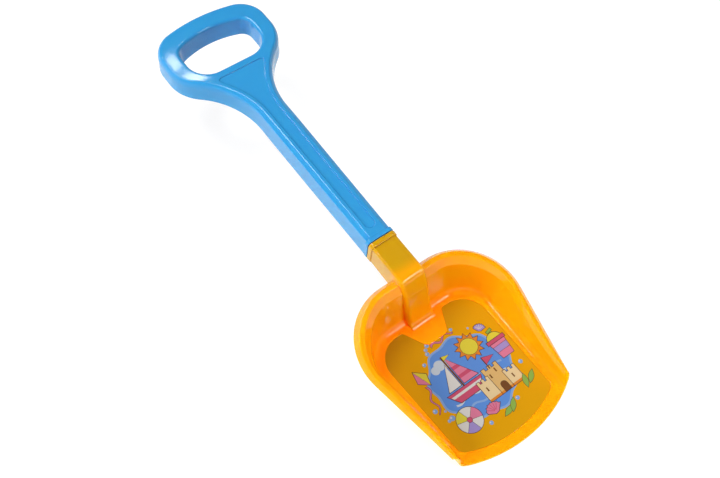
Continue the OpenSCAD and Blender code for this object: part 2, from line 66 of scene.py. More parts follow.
def linear(hex_code: str) -> tuple[float, float, float, float]:
    """Turns an sRGB hex colour into Blender's linear RGBA.

    Args:
        hex_code: Six hex digits with a leading #.

    Returns:
        Linear red, green, blue and an alpha of 1.
    """
    parts = [int(hex_code[i : i + 2], 16) / 255 for i in (1, 3, 5)]
    curve = [c / 12.92 if c <= 0.04045 else ((c + 0.055) / 1.055) ** 2.4 for c in parts]
    return curve[0], curve[1], curve[2], 1.0


# Small geometry


def mix(a: float, b: float, share: float) -> float:
    """Value between a and b."""
    return a + (b - a) * share


def ramp(x: float, start: float, end: float) -> float:
    """Share of the way from start to end, held between 0 and 1."""
    return min(1.0, max(0.0, (x - start) / (end - start)))


def ease(t: float) -> float:
    """Smooth step from 0 to 1."""
    return t * t * (3 - 2 * t)


def arc(centre: Point2, r: float, start: float, end: float, n: int) -> list[Point2]:
    """Points of an arc.

    Args:
        centre: The arc's centre.
        r: Its radius.
        start: Angle of the first point in degrees.
        end: Angle of the last point in degrees.
        n: Number of steps.

    Returns:
        n + 1 points.
    """
    angles = [math.radians(mix(start, end, i / n)) for i in range(n + 1)]
    return [(centre[0] + r * math.cos(a), centre[1] + r * math.sin(a)) for a in angles]


def polar(r: float, a: float) -> Point2:
    """Point at a distance r from the origin, in the direction a in radians."""
    return r * math.cos(a), r * math.sin(a)


def rectangle(x0: float, y0: float, x1: float, y1: float) -> list[Point2]:
    """Corners of an upright rectangle."""
    return [(x0, y0), (x1, y0), (x1, y1), (x0, y1)]


def round_corner(a: Point2, b: Point2, c: Point2, r: float, n: int) -> list[Point2]:
    """Rounds the corner b of the path a, b, c.

    Args:
        a: Point before the corner.
        b: The corner.
        c: Point after the corner.
        r: Radius of the rounding.
        n: Number of steps along it.

    Returns:
        n + 1 points of the arc that replaces the corner.
    """
    u = (Vector(a) - Vector(b)).normalized()
    v = (Vector(c) - Vector(b)).normalized()
    half = math.acos(max(-1.0, min(1.0, u.dot(v)))) / 2
    m = Vector(b) + (u + v).normalized() * (r / math.sin(half))
    p = Vector(b) + u * (r / math.tan(half)) - m
    q = Vector(b) + v * (r / math.tan(half)) - m
    start = math.degrees(math.atan2(p.y, p.x))
    turn = math.degrees(math.atan2(q.y, q.x)) - start
    turn = turn - 360 if turn > 180 else turn + 360 if turn < -180 else turn
    return arc((m.x, m.y), r, start, start + turn, n)


def mirrored(half: Sequence[Point2]) -> list[Point2]:
    """The same points on the other side of the middle line, in reverse order."""
    return [(x, -y) for x, y in reversed(half)]


def loop_edges(loops: Sequence[Sequence]) -> list[tuple[int, int]]:
    """Edges of closed loops.

    Args:
        loops: The loops, whose points are numbered one loop after the other.

    Returns:
        The numbers of each edge's two points.
    """
    edges: list[tuple[int, int]] = []
    start = 0
    for loop in loops:
        n = len(loop)
        edges += [(start + k, start + (k + 1) % n) for k in range(n)]
        start += n
    return edges


def middle(verts: Sequence[Vector], face: Sequence[int]) -> Point2:
    """Middle of a flat triangle."""
    return sum(verts[k].x for k in face) / 3, sum(verts[k].y for k in face) / 3


def inside(point: Point2, loop: Sequence[Point2]) -> bool:
    """Whether a point lies inside a closed loop."""
    x, y = point
    odd = False
    for (x1, y1), (x2, y2) in zip(loop, [*loop[1:], loop[0]]):
        if (y1 > y) != (y2 > y) and x < (x2 - x1) * (y - y1) / (y2 - y1) + x1:
            odd = not odd
    return odd


def grown(loop: Sequence[Point2], d: float) -> list[Point2]:
    """Grows a closed outline outwards by d, its corners kept sharp up to twice that.

    Args:
        loop: Outline points, closed by itself.
        d: Distance.

    Returns:
        The grown outline.
    """
    n = len(loop)
    area = sum(loop[k - 1][0] * loop[k][1] - loop[k][0] * loop[k - 1][1] for k in range(n))
    side = 1 if area > 0 else -1
    out = []
    for k in range(n):
        a, b, c = loop[k - 1], loop[k], loop[(k + 1) % n]
        u, v = Vector(b) - Vector(a), Vector(c) - Vector(b)
        if u.length < 1e-9 or v.length < 1e-9:
            continue
        p = Vector((u.y, -u.x)).normalized() * side
        q = Vector((v.y, -v.x)).normalized() * side
        m = p + q
        m = p if m.length < 1e-6 else m.normalized()
        reach = min(d / max(m.dot(p), 0.3), 2 * d)
        out.append((b[0] + m.x * reach, b[1] + m.y * reach))
    return out


class Skin:
    """Points and faces of one mesh while it is being made."""

    def __init__(self) -> None:
        """Starts with nothing."""
        self.points: list[Point3] = []
        self.faces: list[tuple[int, ...]] = []

    def add(self, points: Iterable[Point3]) -> list[int]:
        """Adds points and returns their numbers."""
        first = len(self.points)
        self.points += [(float(p[0]), float(p[1]), float(p[2])) for p in points]
        return list(range(first, len(self.points)))

    def band(self, a: Sequence[int], b: Sequence[int], closed: bool = False) -> None:
        """Joins two rows of points with quads.

        Args:
            a: Numbers of the first row.
            b: Numbers of the second row, as many.
            closed: Whether the rows are loops.
        """
        n = len(a)
        for i in range(n if closed else n - 1):
            j = (i + 1) % n
            self.faces.append((a[i], a[j], b[j], b[i]))

    def bands(self, rows: Sequence[Sequence[int]], closed: bool = False) -> None:
        """Joins each row to the next."""
        for a, b in zip(rows, rows[1:]):
            self.band(a, b, closed)

    def fill(self, outer: Sequence[int], holes: Sequence[Sequence[int]], axes: tuple[int, int]) -> None:
        """Fills a flat region with triangles.

        Args:
            outer: Numbers of the outer loop's points.
            holes: Numbers of each hole's points.
            axes: The two coordinates that span the region's plane.
        """
        loops, (u, v) = [outer, *holes], axes
        ids = [i for loop in loops for i in loop]
        outlines = [[(self.points[i][u], self.points[i][v]) for i in loop] for loop in loops]
        flat = [Vector(p) for outline in outlines for p in outline]
        verts, _, faces, origin, _, _ = delaunay_2d_cdt(flat, loop_edges(loops), [], 0, 1e-7)
        for face in faces:
            spot = middle(verts, face)
            if sum(inside(spot, outline) for outline in outlines) % 2:
                self.faces.append(tuple(ids[origin[k][0]] for k in face))

    def block(self, rings: Sequence[Sequence[int]], axes: tuple[int, int]) -> None:
        """Joins rings into a closed body.

        Args:
            rings: Numbers of each ring's points, from one flat end to the other.
            axes: The two coordinates that span the ends' planes.
        """
        self.bands(rings, closed=True)
        self.fill(rings[0], [], axes)
        self.fill(rings[-1], [], axes)

    def mesh(self, name: str, place: Callable[[Point3], Point3],
             paint: Callable[[bpy.types.Mesh], None] | None = None) -> bpy.types.Object:
        """Makes the mesh object.

        Args:
            name: The object's name.
            place: Turns a point of the skin's frame into the row's frame, in millimetres.
            paint: Colours the mesh while its faces are still in the order they were added in.

        Returns:
            The object, linked into the scene, its faces turned outwards.
        """
        data = bpy.data.meshes.new(name)
        placed = [place(p) for p in self.points]
        data.from_pydata([(x * MM, y * MM, z * MM) for x, y, z in placed], [], self.faces)
        if paint:
            paint(data)
        shape = bmesh.new()
        shape.from_mesh(data)
        bmesh.ops.remove_doubles(shape, verts=shape.verts, dist=1e-7)
        bmesh.ops.recalc_face_normals(shape, faces=shape.faces)
        loose = [v for v in shape.verts if not v.link_faces]
        bmesh.ops.delete(shape, geom=loose, context="VERTS")
        shape.to_mesh(data)
        shape.free()
        made = bpy.data.objects.new(name, data)
        bpy.context.scene.collection.objects.link(made)
        return made


def combine(target: bpy.types.Object, tool: bpy.types.Object, operation: str) -> None:
    """Applies a boolean and removes its tool.

    Args:
        target: The object that stays.
        tool: The object that is added or cut away.
        operation: UNION or DIFFERENCE.
    """
    step = target.modifiers.new("combine", "BOOLEAN")
    step.operation = operation
    step.solver = "EXACT"
    step.object = tool
    bpy.context.view_layer.update()
    graph = bpy.context.evaluated_depsgraph_get()
    result = bpy.data.meshes.new_from_object(target.evaluated_get(graph))
    target.modifiers.clear()
    old = target.data
    target.data = result
    bpy.data.meshes.remove(old)
    bpy.data.objects.remove(tool)


def smooth(obj: bpy.types.Object, angle: float) -> None:
    """Shades a moulding smoothly, with crisp edges above an angle and flat faces kept flat.

    Args:
        obj: The mesh object.
        angle: Edges that turn by more than this many degrees stay crisp.
    """
    shape = bmesh.new()
    shape.from_mesh(obj.data)
    limit = math.radians(angle)
    for edge in shape.edges:
        edge.smooth = len(edge.link_faces) == 2 and edge.calc_face_angle(0.0) < limit
    for face in shape.faces:
        face.smooth = True
    shape.to_mesh(obj.data)
    shape.free()
    weigh = obj.modifiers.new("flat_faces_first", "WEIGHTED_NORMAL")
    weigh.keep_sharp = True
    weigh.weight = 60


# Shared sizes


@dataclass(frozen=True)
class Layout:
    """Where the joint, the floor and the row's origin lie, and the sizes both mouldings share."""

    joint_reach: float = 53.5
    joint_h: float = 59.0
    rise: float = 5.4
    floor_len: float = 144.0
    floor_w: float = 123.0
    floor_front_w: float = 115.0
    front_bulge: float = 13.2
    label_sink: float = 0.6
    scoop_t: float = 2.0
    handle_len: float = 303.8
    handle_draft: float = 0.7
    grip_depth: float = 21.5
    lip_w: float = 28.0
    lip_top: float = 0.4
    lip_bottom: float = -27.0
    lip_r: float = 4.5
    lip_edge_r: float = 0.5
    groove: float = 0.8

    def shaft_to_scoop(self, p: Point3) -> Point3:
        """Turns a point of the shaft's frame into the scoop's frame."""
        a = math.radians(self.rise)
        x = -self.joint_reach + p[0] * math.cos(a) + p[2] * math.sin(a)
        z = self.joint_h - p[0] * math.sin(a) + p[2] * math.cos(a)
        return x, p[1], z

    @property
    def front_r(self) -> float:
        """Radius of the floor's arched front."""
        return ((self.floor_front_w / 2) ** 2 + self.front_bulge**2) / (2 * self.front_bulge)

    @property
    def shift(self) -> float:
        """Distance from the scoop's frame to the row's along x."""
        foot = self.shaft_to_scoop((-self.handle_len - self.handle_draft, 0, -self.grip_depth))
        return -(self.floor_len + foot[0]) / 2

    def scoop_to_row(self, p: Point3) -> Point3:
        """Turns a point of the scoop's frame into the row's frame."""
        return p[0] + self.shift, p[1], p[2] + self.scoop_t

    def shaft_to_row(self, p: Point3) -> Point3:
        """Turns a point of the shaft's frame into the row's frame."""
        return self.scoop_to_row(self.shaft_to_scoop(p))


LAYOUT = Layout()


def rounded_box(w: float, top: float, bottom: float, r: float, inset: float, n: int) -> list[Point2]:
    """Rounded rectangle across the shaft.

    Args:
        w: Width.
        top: Upper height.
        bottom: Lower height.
        r: Corner radius.
        inset: How far the outline is set in.
        n: Steps in each corner.

    Returns:
        Points (y, z) of the closed outline.
    """
    x, k = w / 2 - r, r - inset
    corners = [((x, top - r), 0), ((-x, top - r), 90), ((-x, bottom + r), 180), ((x, bottom + r), 270)]
    return [p for centre, a in corners for p in arc(centre, k, a, a + 90, n)]


def sleeve(skin: Skin, w: float, top: float, bottom: float, r: float, start: float, end: float,
           edge: float) -> None:
    """Adds a closed rounded block across the shaft with small edge radii.

    Args:
        skin: The skin that it is added to.
        w: Width.
        top: Upper height.
        bottom: Lower height.
        r: Corner radius.
        start: Its lower x.
        end: Its upper x.
        edge: Radius of the edges at both ends.
    """
    steps = [(start + edge * (1 - math.sin(a)), edge * (1 - math.cos(a)))
             for a in (math.radians(90 - 18 * i) for i in range(6))]
    rows = steps + [(start + end - x, inset) for x, inset in reversed(steps)]
    rings = [skin.add((x, y, z) for y, z in rounded_box(w, top, bottom, r, inset, 8)) for x, inset in rows]
    skin.block(rings, (1, 2))


# Scoop


@dataclass
class Scoop:
    """The orange-yellow moulding: floor, walls, stepped rim, hump and neck."""

    layout: Layout = LAYOUT
    floor_corner_r: float = 30.0
    crease_r: float = 7.0
    strip: float = 6.4
    rim_reach: float = 21.7
    rim_span: float = 160.5
    rim_front_span: float = 127.4
    rim_corner_r: float = 55.0
    tip_setback: float = 6.6
    rim_back_h: float = 47.0
    rim_front_h: float = 16.5
    rim_back_w: float = 16.0
    rim_front_w: float = 8.0
    skirt_share: float = 0.36
    skirt_drop_share: float = 1.1
    ledge_share: float = 0.33
    ledge_drop_share: float = 1.3
    end_r: float = 0.6
    front_edge: float = 0.7
    neck_w: float = 26.0
    neck_step: float = 1.2
    neck_depth: float = 26.0
    neck_edge_r: float = 2.6
    hump_setback: float = 8.0
    hump_bend_h: float = 37.0
    hump_bend_setback: float = 1.0
    hump_foot: float = 8.5
    hump_radii: Point3 = (6.0, 9.0, 8.0)
    foot_run: float = 12.0
    foot_edge_r: float = 4.2
    socket_wall: float = 2.4
    section_n: tuple[int, ...] = (10, 6, 5, 6)
    upper_radii: Point3 = (1.8, 0.9, 1.4)
    lower_r: float = 0.25
    lip_len: float = 4.6
    window_span: Point2 = (12.7, 19.3)
    window_w: float = 9.6
    window_h: float = 3.4
    label_gap: float = 0.3
    side_n: int = 20
    corner_n: int = 30
    back_n: int = 10
    name: str = "scoop_moulding"

    def __post_init__(self) -> None:
        """Works out the digging edge's arc and the back wall's top as (outward, up)."""
        self.front_r = self.layout.front_r
        self.front_x = self.layout.floor_len - self.front_edge - self.front_r
        self.wall = (self.rim_reach - self.rim_back_w,
                     self.rim_back_h - self.rim_back_w * self.ledge_share * self.ledge_drop_share)

    def on_front(self, y: float) -> Point2:
        """Point of the digging edge at y."""
        return self.front_x + math.sqrt(self.front_r**2 - y * y), y

    def u_half(self, front: Point2, back_x: float, half_w: float, r: float) -> list[Point2]:
        """Half of a U outline: a straight side from its front point, the back corner, the back.

        Args:
            front: Where the straight side starts.
            back_x: x of the straight back.
            half_w: Half of the widest width.
            r: Radius of the back corner.

        Returns:
            Points from the front to the middle of the back.
        """
        cx, cy = back_x + r, half_w - r
        dx, dy = front[0] - cx, front[1] - cy
        a = math.degrees(math.atan2(dy, dx)) + math.degrees(math.acos(r / math.hypot(dx, dy)))
        touch = (cx + r * math.cos(math.radians(a)), cy + r * math.sin(math.radians(a)))
        side = [(mix(front[0], touch[0], i / self.side_n), mix(front[1], touch[1], i / self.side_n))
                for i in range(self.side_n)]
        back = [(back_x, cy * (1 - i / self.back_n)) for i in range(1, self.back_n + 1)]
        return side + arc((cx, cy), r, a, 180, self.corner_n) + back

    def section(self, reach: float, h: float, w: float, strip: float) -> tuple[list, list]:
        """Upper and lower line of the wall's section, point for point.

        Args:
            reach: From the crease to the rim's outer edge.
            h: Height of the rim.
            w: Width of the rim.
            strip: Width of floor inside the crease.

        Returns:
            Upper points and lower points, each (outward, up).
        """
        t, skirt, ledge = self.layout.scoop_t, w * self.skirt_share, w * self.ledge_share
        wall_top = (reach - w, h - ledge * self.ledge_drop_share)
        back = self.end_r / math.hypot(1, self.skirt_drop_share)
        upper = [(-strip, 0.0), (0.0, 0.0), wall_top, (wall_top[0] + ledge, h), (reach - skirt, h),
                 (reach - back, h - (skirt - back) * self.skirt_drop_share)]
        lower = [(-strip, -t)]
        for a, b, c in zip(upper, upper[1:], upper[2:]):
            d1, d2 = (Vector(b) - Vector(a)).normalized(), (Vector(c) - Vector(b)).normalized()
            n1, n2 = Vector((d1.y, -d1.x)), Vector((d2.y, -d2.x))
            lower.append(tuple(Vector(b) + (n1 + n2) * (t / (1 + n1.dot(n2)))))
        last = (Vector(upper[-1]) - Vector(upper[-2])).normalized()
        lower.append(tuple(Vector(upper[-1]) + Vector((last.y, -last.x)) * t))
        above = (self.crease_r, *self.upper_radii)
        below = (self.crease_r + t, self.lower_r, self.lower_r, self.lower_r)
        lines = []
        for path, radii in ((upper, above), (lower, below)):
            line = [path[0]]
            for k in (1, 2, 3, 4):
                line += round_corner(path[k - 1], path[k], path[k + 1], radii[k - 1], self.section_n[k - 1])
            lines.append(line + [path[-1]])
        return lines[0], lines[1]

    def stations(self) -> list[tuple[list[Point3], list[Point3]]]:
        """Upper and lower line of the wall's section at each place round the floor, tip to tip."""
        half, wide = self.layout.floor_front_w / 2, self.layout.floor_w / 2
        crease = self.u_half(self.on_front(half), 0, wide, self.floor_corner_r)
        inner = self.u_half(self.on_front(half - self.strip), self.strip, wide - self.strip,
                            self.floor_corner_r - self.strip)
        tip = (self.on_front(half)[0] - self.tip_setback, self.rim_front_span / 2)
        rim = self.u_half(tip, -self.rim_reach, self.rim_span / 2, self.rim_corner_r)
        uppers, lowers = [], []
        for c, r, n in zip(crease, rim, inner):
            share = ramp(r[0], tip[0], -self.rim_reach)
            h = mix(self.rim_front_h, self.rim_back_h, share)
            w = mix(self.rim_front_w, self.rim_back_w, share)
            out, inw = Vector(r) - Vector(c), Vector(c) - Vector(n)
            up, low = self.section(out.length, h, w, inw.length)
            out_u, in_u = out.normalized(), inw.normalized()
            for line, store in ((up, uppers), (low, lowers)):
                store.append([(*(Vector(c) + (in_u if s < 0 else out_u) * s), z) for s, z in line])
        made = list(zip(uppers, lowers))
        made += [([(x, -y, z) for x, y, z in u], [(x, -y, z) for x, y, z in v])
                 for u, v in reversed(made[:-1])]
        return made

    def shell(self) -> Skin:
        """Floor, walls and rim as one closed skin in the scoop's frame."""
        skin, t, steps = Skin(), self.layout.scoop_t, 6

        def rim_edge(top: Point3, low: Point3, out: Vector) -> list[Point3]:
            """Half-round edge from a point of the upper face to one of the lower."""
            m, d = (Vector(top) + Vector(low)) / 2, (Vector(top) - Vector(low)) / 2
            turns = [math.pi * i / steps for i in range(1, steps)]
            return [tuple(m + d * math.cos(a) + out * (d.length * math.sin(a))) for a in turns]

        stations = self.stations()
        rows_up = [skin.add(u) for u, _ in stations]
        rows_low = [skin.add(v) for _, v in stations]
        ends = []
        for u, v in stations:
            axis = Vector(u[-1]) - Vector(u[-2])
            across = (Vector(u[-1]) - Vector(v[-1])).normalized()
            axis -= across * axis.dot(across)
            ends.append(skin.add(rim_edge(u[-1], v[-1], axis.normalized() * self.end_r)))
        skin.bands(rows_up)
        skin.bands(rows_low)
        skin.bands([[a[-1], *e, b[-1]] for a, e, b in zip(rows_up, ends, rows_low)])
        # The digging edge and both wall ends are one half-round edge
        limit = math.degrees(math.asin((self.layout.floor_front_w / 2 - self.strip) / self.front_r))
        front = arc((self.front_x, 0), self.front_r, -limit, limit, 40)[1:-1]
        top_ids, low_ids = skin.add((x, y, 0) for x, y in front), skin.add((x, y, -t) for x, y in front)
        chain = [(rows_up[-1][k], rows_low[-1][k]) for k in range(len(rows_up[-1]) - 1, -1, -1)]
        chain += list(zip(top_ids, low_ids))
        chain += [(rows_up[0][k], rows_low[0][k]) for k in range(len(rows_up[0]))]
        edge_rows = []
        for a, b in chain:
            p = Vector(skin.points[a])
            out = Vector((p.x - self.front_x, p.y, 0)).normalized() * self.front_edge
            edge_rows.append([a, *skin.add(rim_edge(skin.points[a], skin.points[b], out)), b])
        skin.bands(edge_rows)
        skin.band(edge_rows[0], [rows_up[-1][-1], *ends[-1], rows_low[-1][-1]])
        skin.band(edge_rows[-1], [rows_up[0][-1], *ends[0], rows_low[0][-1]])
        # Floor with the label's recess in it
        floor_top = [r[0] for r in rows_up] + top_ids
        floor_low = [r[0] for r in rows_low] + low_ids
        recess, sunk = [], -self.layout.label_sink
        for grow, z in ((0.25, 0.0), (0.12, -0.04), (0.02, -0.15), (0.0, sunk + 0.1),
                        (-0.06, sunk + 0.02), (-0.2, sunk)):
            outline = LabelShape().outline(self.label_gap + grow)
            recess.append(skin.add((x, y, z) for x, y in outline))
        skin.bands(recess, closed=True)
        skin.fill(floor_top, [recess[0]], (0, 1))
        skin.fill(recess[-1], [], (0, 1))
        skin.fill(floor_low, [], (0, 1))
        return skin

    def neck_line(self, x: float, depth: float) -> float:
        """Height in the scoop's frame of a line parallel to the shaft, depth below its top face."""
        a = math.radians(self.layout.rise)
        return self.layout.joint_h - depth / math.cos(a) - (x + self.layout.joint_reach) * math.tan(a)

    def back_crease(self) -> tuple[Point2, float]:
        """Centre of the back crease's arc and the back wall's slope in degrees."""
        slope = math.degrees(math.atan2(self.wall[1], self.wall[0]))
        return (self.crease_r * math.tan(math.radians(slope / 2)), self.crease_r), slope

    def neck(self) -> Skin:
        """Hump and neck as one closed skin with rounded edges, in the scoop's frame."""
        lay, r = self.layout, self.neck_edge_r
        mouth_top = lay.shaft_to_scoop((2.0, 0, -self.neck_step))
        mouth_low = lay.shaft_to_scoop((2.0, 0, -self.neck_depth))
        top = (-self.hump_setback, self.neck_line(-self.hump_setback, self.neck_step))
        bend = (-self.hump_bend_setback, self.hump_bend_h)
        # In front of the toe the solid runs on within the floor's thickness
        toe, out = (self.hump_foot, 0.0), (self.hump_foot + self.foot_run, -0.3)
        start = (mouth_top[0], mouth_top[2])
        end = (mouth_low[0], mouth_low[2])
        under = (out[0] - 1, -1.5)
        # Behind the toe it ends in the middle of the thickness of floor, crease and wall
        low, half_t = self.neck_line(0, self.neck_depth), lay.scoop_t / 2
        crease, slope = self.back_crease()
        heel = arc(crease, self.crease_r + half_t, 270, 270 - slope, 6)
        heel.append((-self.wall[0] * low / self.wall[1] - half_t, low))
        top_r, bend_r, toe_r = self.hump_radii
        path = [start]
        path += round_corner(start, top, bend, top_r, 10)
        path += round_corner(top, bend, toe, bend_r, 8)
        path += round_corner(bend, toe, out, toe_r, 10)
        foot = len(path)
        path += [out, under, *heel, end]
        n = len(path)
        insides = []
        for i in range(n):
            a, b, c = Vector(path[i - 1]), Vector(path[i]), Vector(path[(i + 1) % n])
            n1, n2 = (b - a).normalized(), (c - b).normalized()
            n1, n2 = Vector((n1.y, -n1.x)), Vector((n2.y, -n2.x))
            m = (n1 + n2).normalized()
            insides.append(m / max(0.4, m.dot(n1)))
        skin, w, steps = Skin(), self.neck_w / 2, 8
        # The side edges get rounder below the top bend and run out at the foot
        radii = [mix(r, self.foot_edge_r, ease(ramp(i, 6, 16))) * mix(1, 0.04, ramp(i, foot - 11, foot - 4))
                 if i < n - 1 else r for i in range(n)]
        rings = []
        for side in (-1, 1):
            turns = [math.radians(90 * k / steps) for k in range(steps + 1)]
            for a in reversed(turns) if side < 0 else turns:
                spots = [Vector(p) + m * e * (1 - math.cos(a)) for p, m, e in zip(path, insides, radii)]
                wide = [side * (w - e + e * math.sin(a)) for e in radii]
                rings.append(skin.add((q.x, y, q.y) for q, y in zip(spots, wide)))
        skin.block(rings, (0, 2))
        return skin

    def lip(self) -> Skin:
        """Lip round the socket's mouth, in the shaft's frame."""
        skin, lay = Skin(), self.layout
        start = lay.groove / 2
        sleeve(skin, lay.lip_w, lay.lip_top, lay.lip_bottom, lay.lip_r, start, start + self.lip_len,
               lay.lip_edge_r)
        return skin

    def hollow(self) -> Skin:
        """Open underside of the hump, in the scoop's frame."""
        w, t = self.neck_w / 2 - self.socket_wall, self.socket_wall
        drop = t / math.cos(math.radians(self.layout.rise))
        rear, low = -self.hump_setback - 2 * t, self.neck_line(0, self.neck_depth)
        behind = -self.wall[0] * low / self.wall[1] - self.layout.scoop_t - 1
        below = -5.0
        path = [(behind, below), (behind, low), (rear, self.neck_line(rear, self.neck_depth) + drop),
                (rear, self.neck_line(rear, self.neck_step) - drop),
                (-self.hump_setback - t, self.neck_line(-self.hump_setback, self.neck_step) - drop),
                (-self.hump_bend_setback - t, self.hump_bend_h), (self.hump_foot - t, below)]
        skin = Skin()
        skin.block([skin.add((x, y, z) for x, z in path) for y in (-w, w)], (0, 2))
        return skin

    def window(self) -> Skin:
        """Window of the snap catch in the neck's underside, in the shaft's frame."""
        skin, low, half = Skin(), -self.neck_depth - 1, self.window_w / 2
        outline = rectangle(self.window_span[0], low, self.window_span[1], low + self.window_h)
        skin.block([skin.add((x, y, z) for x, z in outline) for y in (-half, half)], (0, 2))
        return skin

    def build(self, finish: bpy.types.Material) -> bpy.types.Object:
        """Makes the moulding and puts its plastic on it.

        Args:
            finish: The plastic.

        Returns:
            The finished piece.
        """
        lay = self.layout
        piece = self.shell().mesh(self.name, lay.scoop_to_row)
        combine(piece, self.neck().mesh("neck_step", lay.scoop_to_row), "UNION")
        combine(piece, self.lip().mesh("lip_step", lay.shaft_to_row), "UNION")
        combine(piece, self.hollow().mesh("hollow_step", lay.scoop_to_row), "DIFFERENCE")
        combine(piece, self.window().mesh("window_step", lay.shaft_to_row), "DIFFERENCE")
        smooth(piece, CRISP_FROM)
        piece.data.materials.clear()
        piece.data.materials.append(finish)
        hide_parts("scoop")
        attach(piece, "root")
        log.info("%s: %d faces", piece.name, len(piece.data.polygons))
        return piece


# Handle


@dataclass
class Handle:
    """The blue moulding: D-grip, web, shaft with a sunk panel, collar, ribs underneath."""

    layout: Layout = LAYOUT
    grip_w: float = 117.8
    grip_end_r: float = 159.0
    grip_corner_r: float = 29.0
    grip_flat: float = 12.3
    grip_shoulder_r: float = 39.4
    web_r: float = 83.0
    shaft_w: float = 27.2
    shaft_end_w: float = 25.0
    shaft_depth: float = 25.0
    wall: float = 2.2
    top: float = 2.4
    foot_edge: float = 0.7
    shoulder_w: float = 4.3
    knee_r: float = 1.4
    brow_r: float = 2.0
    grip_drop: float = 8.0
    shaft_drop: float = 2.4
    drop_span: Point2 = (0.78, 0.45)
    depth_span: Point2 = (0.80, 0.45)
    panel_inset: float = 7.6
    panel_sink: float = 0.8
    panel_margin: float = 5.6
    panel_end: float = 12.0
    panel_r: float = 4.5
    hole_len: float = 57.0
    hole_w: float = 86.0
    grip_bar: float = 17.4
    hole_end_r: float = 96.0
    hole_corner_r: float = 16.0
    hole_base_r: float = 25.5
    hole_edge_r: float = 3.0
    hole_draft: float = 1.2
    rib_t: float = 1.6
    rib_setback: float = 2.5
    rib_pitch: float = 25.0
    rib_depth: float = 19.0
    rib_reach: float = 22.0
    rib_end: float = 4.6
    spigot_box: Point3 = (20.6, -3.9, -23.3)
    spigot_len: float = 38.0
    catch_span: Point2 = (13.0, 19.0)
    catch_w: float = 9.0
    catch_rise: float = 1.9
    collar_len: float = 4.0
    seat_inset: float = 1.9
    name: str = "handle_moulding"

    def __post_init__(self) -> None:
        """Works out the centres and angles of the outline's arcs."""
        length = self.layout.handle_len
        self.end_x = self.grip_end_r - length
        self.corner_y = self.grip_w / 2 - self.grip_corner_r
        reach = self.grip_end_r - self.grip_corner_r
        self.corner_x = self.end_x - math.sqrt(reach**2 - self.corner_y**2)
        self.shoulder_c = (self.corner_x + self.grip_flat, self.grip_w / 2 - self.grip_shoulder_r)
        self.web_y = self.shaft_w / 2 + self.web_r
        both = self.grip_shoulder_r + self.web_r
        self.web_x = self.shoulder_c[0] + math.sqrt(both**2 - (self.web_y - self.shoulder_c[1]) ** 2)
        self.end_a = 180 - math.degrees(math.asin(self.corner_y / reach))
        up, along = self.web_y - self.shoulder_c[1], self.web_x - self.shoulder_c[0]
        self.web_a = math.degrees(math.atan2(up, along))
        self.base_x = self.grip_bar + self.hole_len - length

    def edge(self) -> list[tuple[Point2, Point2]]:
        """Closed outline as points with their inward directions."""
        half: list[tuple[Point2, Point2]] = []

        def run(centre: Point2, r: float, start: float, end: float, n: int, inward: float) -> None:
            """Adds an arc; inward is 1 where the centre is inside and -1 where it is outside."""
            for x, y in arc(centre, r, start, end, n):
                d = (inward * (centre[0] - x) / r, inward * (centre[1] - y) / r)
                if not half or math.hypot(half[-1][0][0] - x, half[-1][0][1] - y) > 0.05:
                    half.append(((x, y), d))

        run((self.end_x, 0), self.grip_end_r, 180, self.end_a, 12, 1)
        run((self.corner_x, self.corner_y), self.grip_corner_r, self.end_a, 90, 24, 1)
        run(self.shoulder_c, self.grip_shoulder_r, 90, self.web_a, 24, 1)
        run((self.web_x, self.web_y), self.web_r, 180 + self.web_a, 270, 24, -1)
        start, last = half[-1][0], (-self.layout.groove / 2, self.shaft_end_w / 2)
        for i in range(1, 21):
            half.append(((mix(start[0], last[0], i / 20), mix(start[1], last[1], i / 20)), (0.0, -1.0)))
        other = [((x, -y), (dx, -dy)) for (x, y), (dx, dy) in reversed(half[1:])]
        return half + other

    def set_in(self, by: float) -> list[Point2]:
        """Outline set in by a length."""
        return [(p[0] + d[0] * by, p[1] + d[1] * by) for p, d in self.edge()]

    def share(self, x: float, span: Point2) -> float:
        """0 at the grip's end of a span and 1 at the shaft's end of it."""
        return ease(ramp(-x / self.layout.handle_len, span[0], span[1]))

    def depth(self, x: float) -> float:
        """Depth of the handle at x."""
        return mix(self.layout.grip_depth, self.shaft_depth, self.share(x, self.depth_span))

    def profile(self, x: float) -> list[Point2]:
        """Outer section at x from the lower edge up to the top face, as (inset, height) points."""
        s, deep = self.share(x, self.drop_span), self.depth(x)
        out = -self.layout.handle_draft
        low = [(out + self.wall, -deep), (out + self.foot_edge, -deep), (out + 0.2, -deep + 0.2),
               (out, -deep + self.foot_edge)]
        grip = [(0.0, -self.grip_drop * 1.35)]
        grip += [(self.shoulder_w * (1 - math.cos(a)), -self.grip_drop * (1 - math.sin(a)))
                 for a in (math.radians(90 * i / 14) for i in range(15))]
        foot, knee, head = (0.0, -self.shaft_drop * 3), (0.0, -self.shaft_drop), (self.shoulder_w, 0.0)
        line = round_corner(foot, knee, head, self.knee_r, 7)
        line += round_corner(knee, head, (self.shoulder_w + 5, 0.0), self.brow_r, 7)
        shaft = [foot, *line[:-1]]
        body = [(mix(g[0], h[0], s), mix(g[1], h[1], s)) for g, h in zip(grip, shaft)]
        return low + body + [(self.shoulder_w + 1.0, 0.0)]

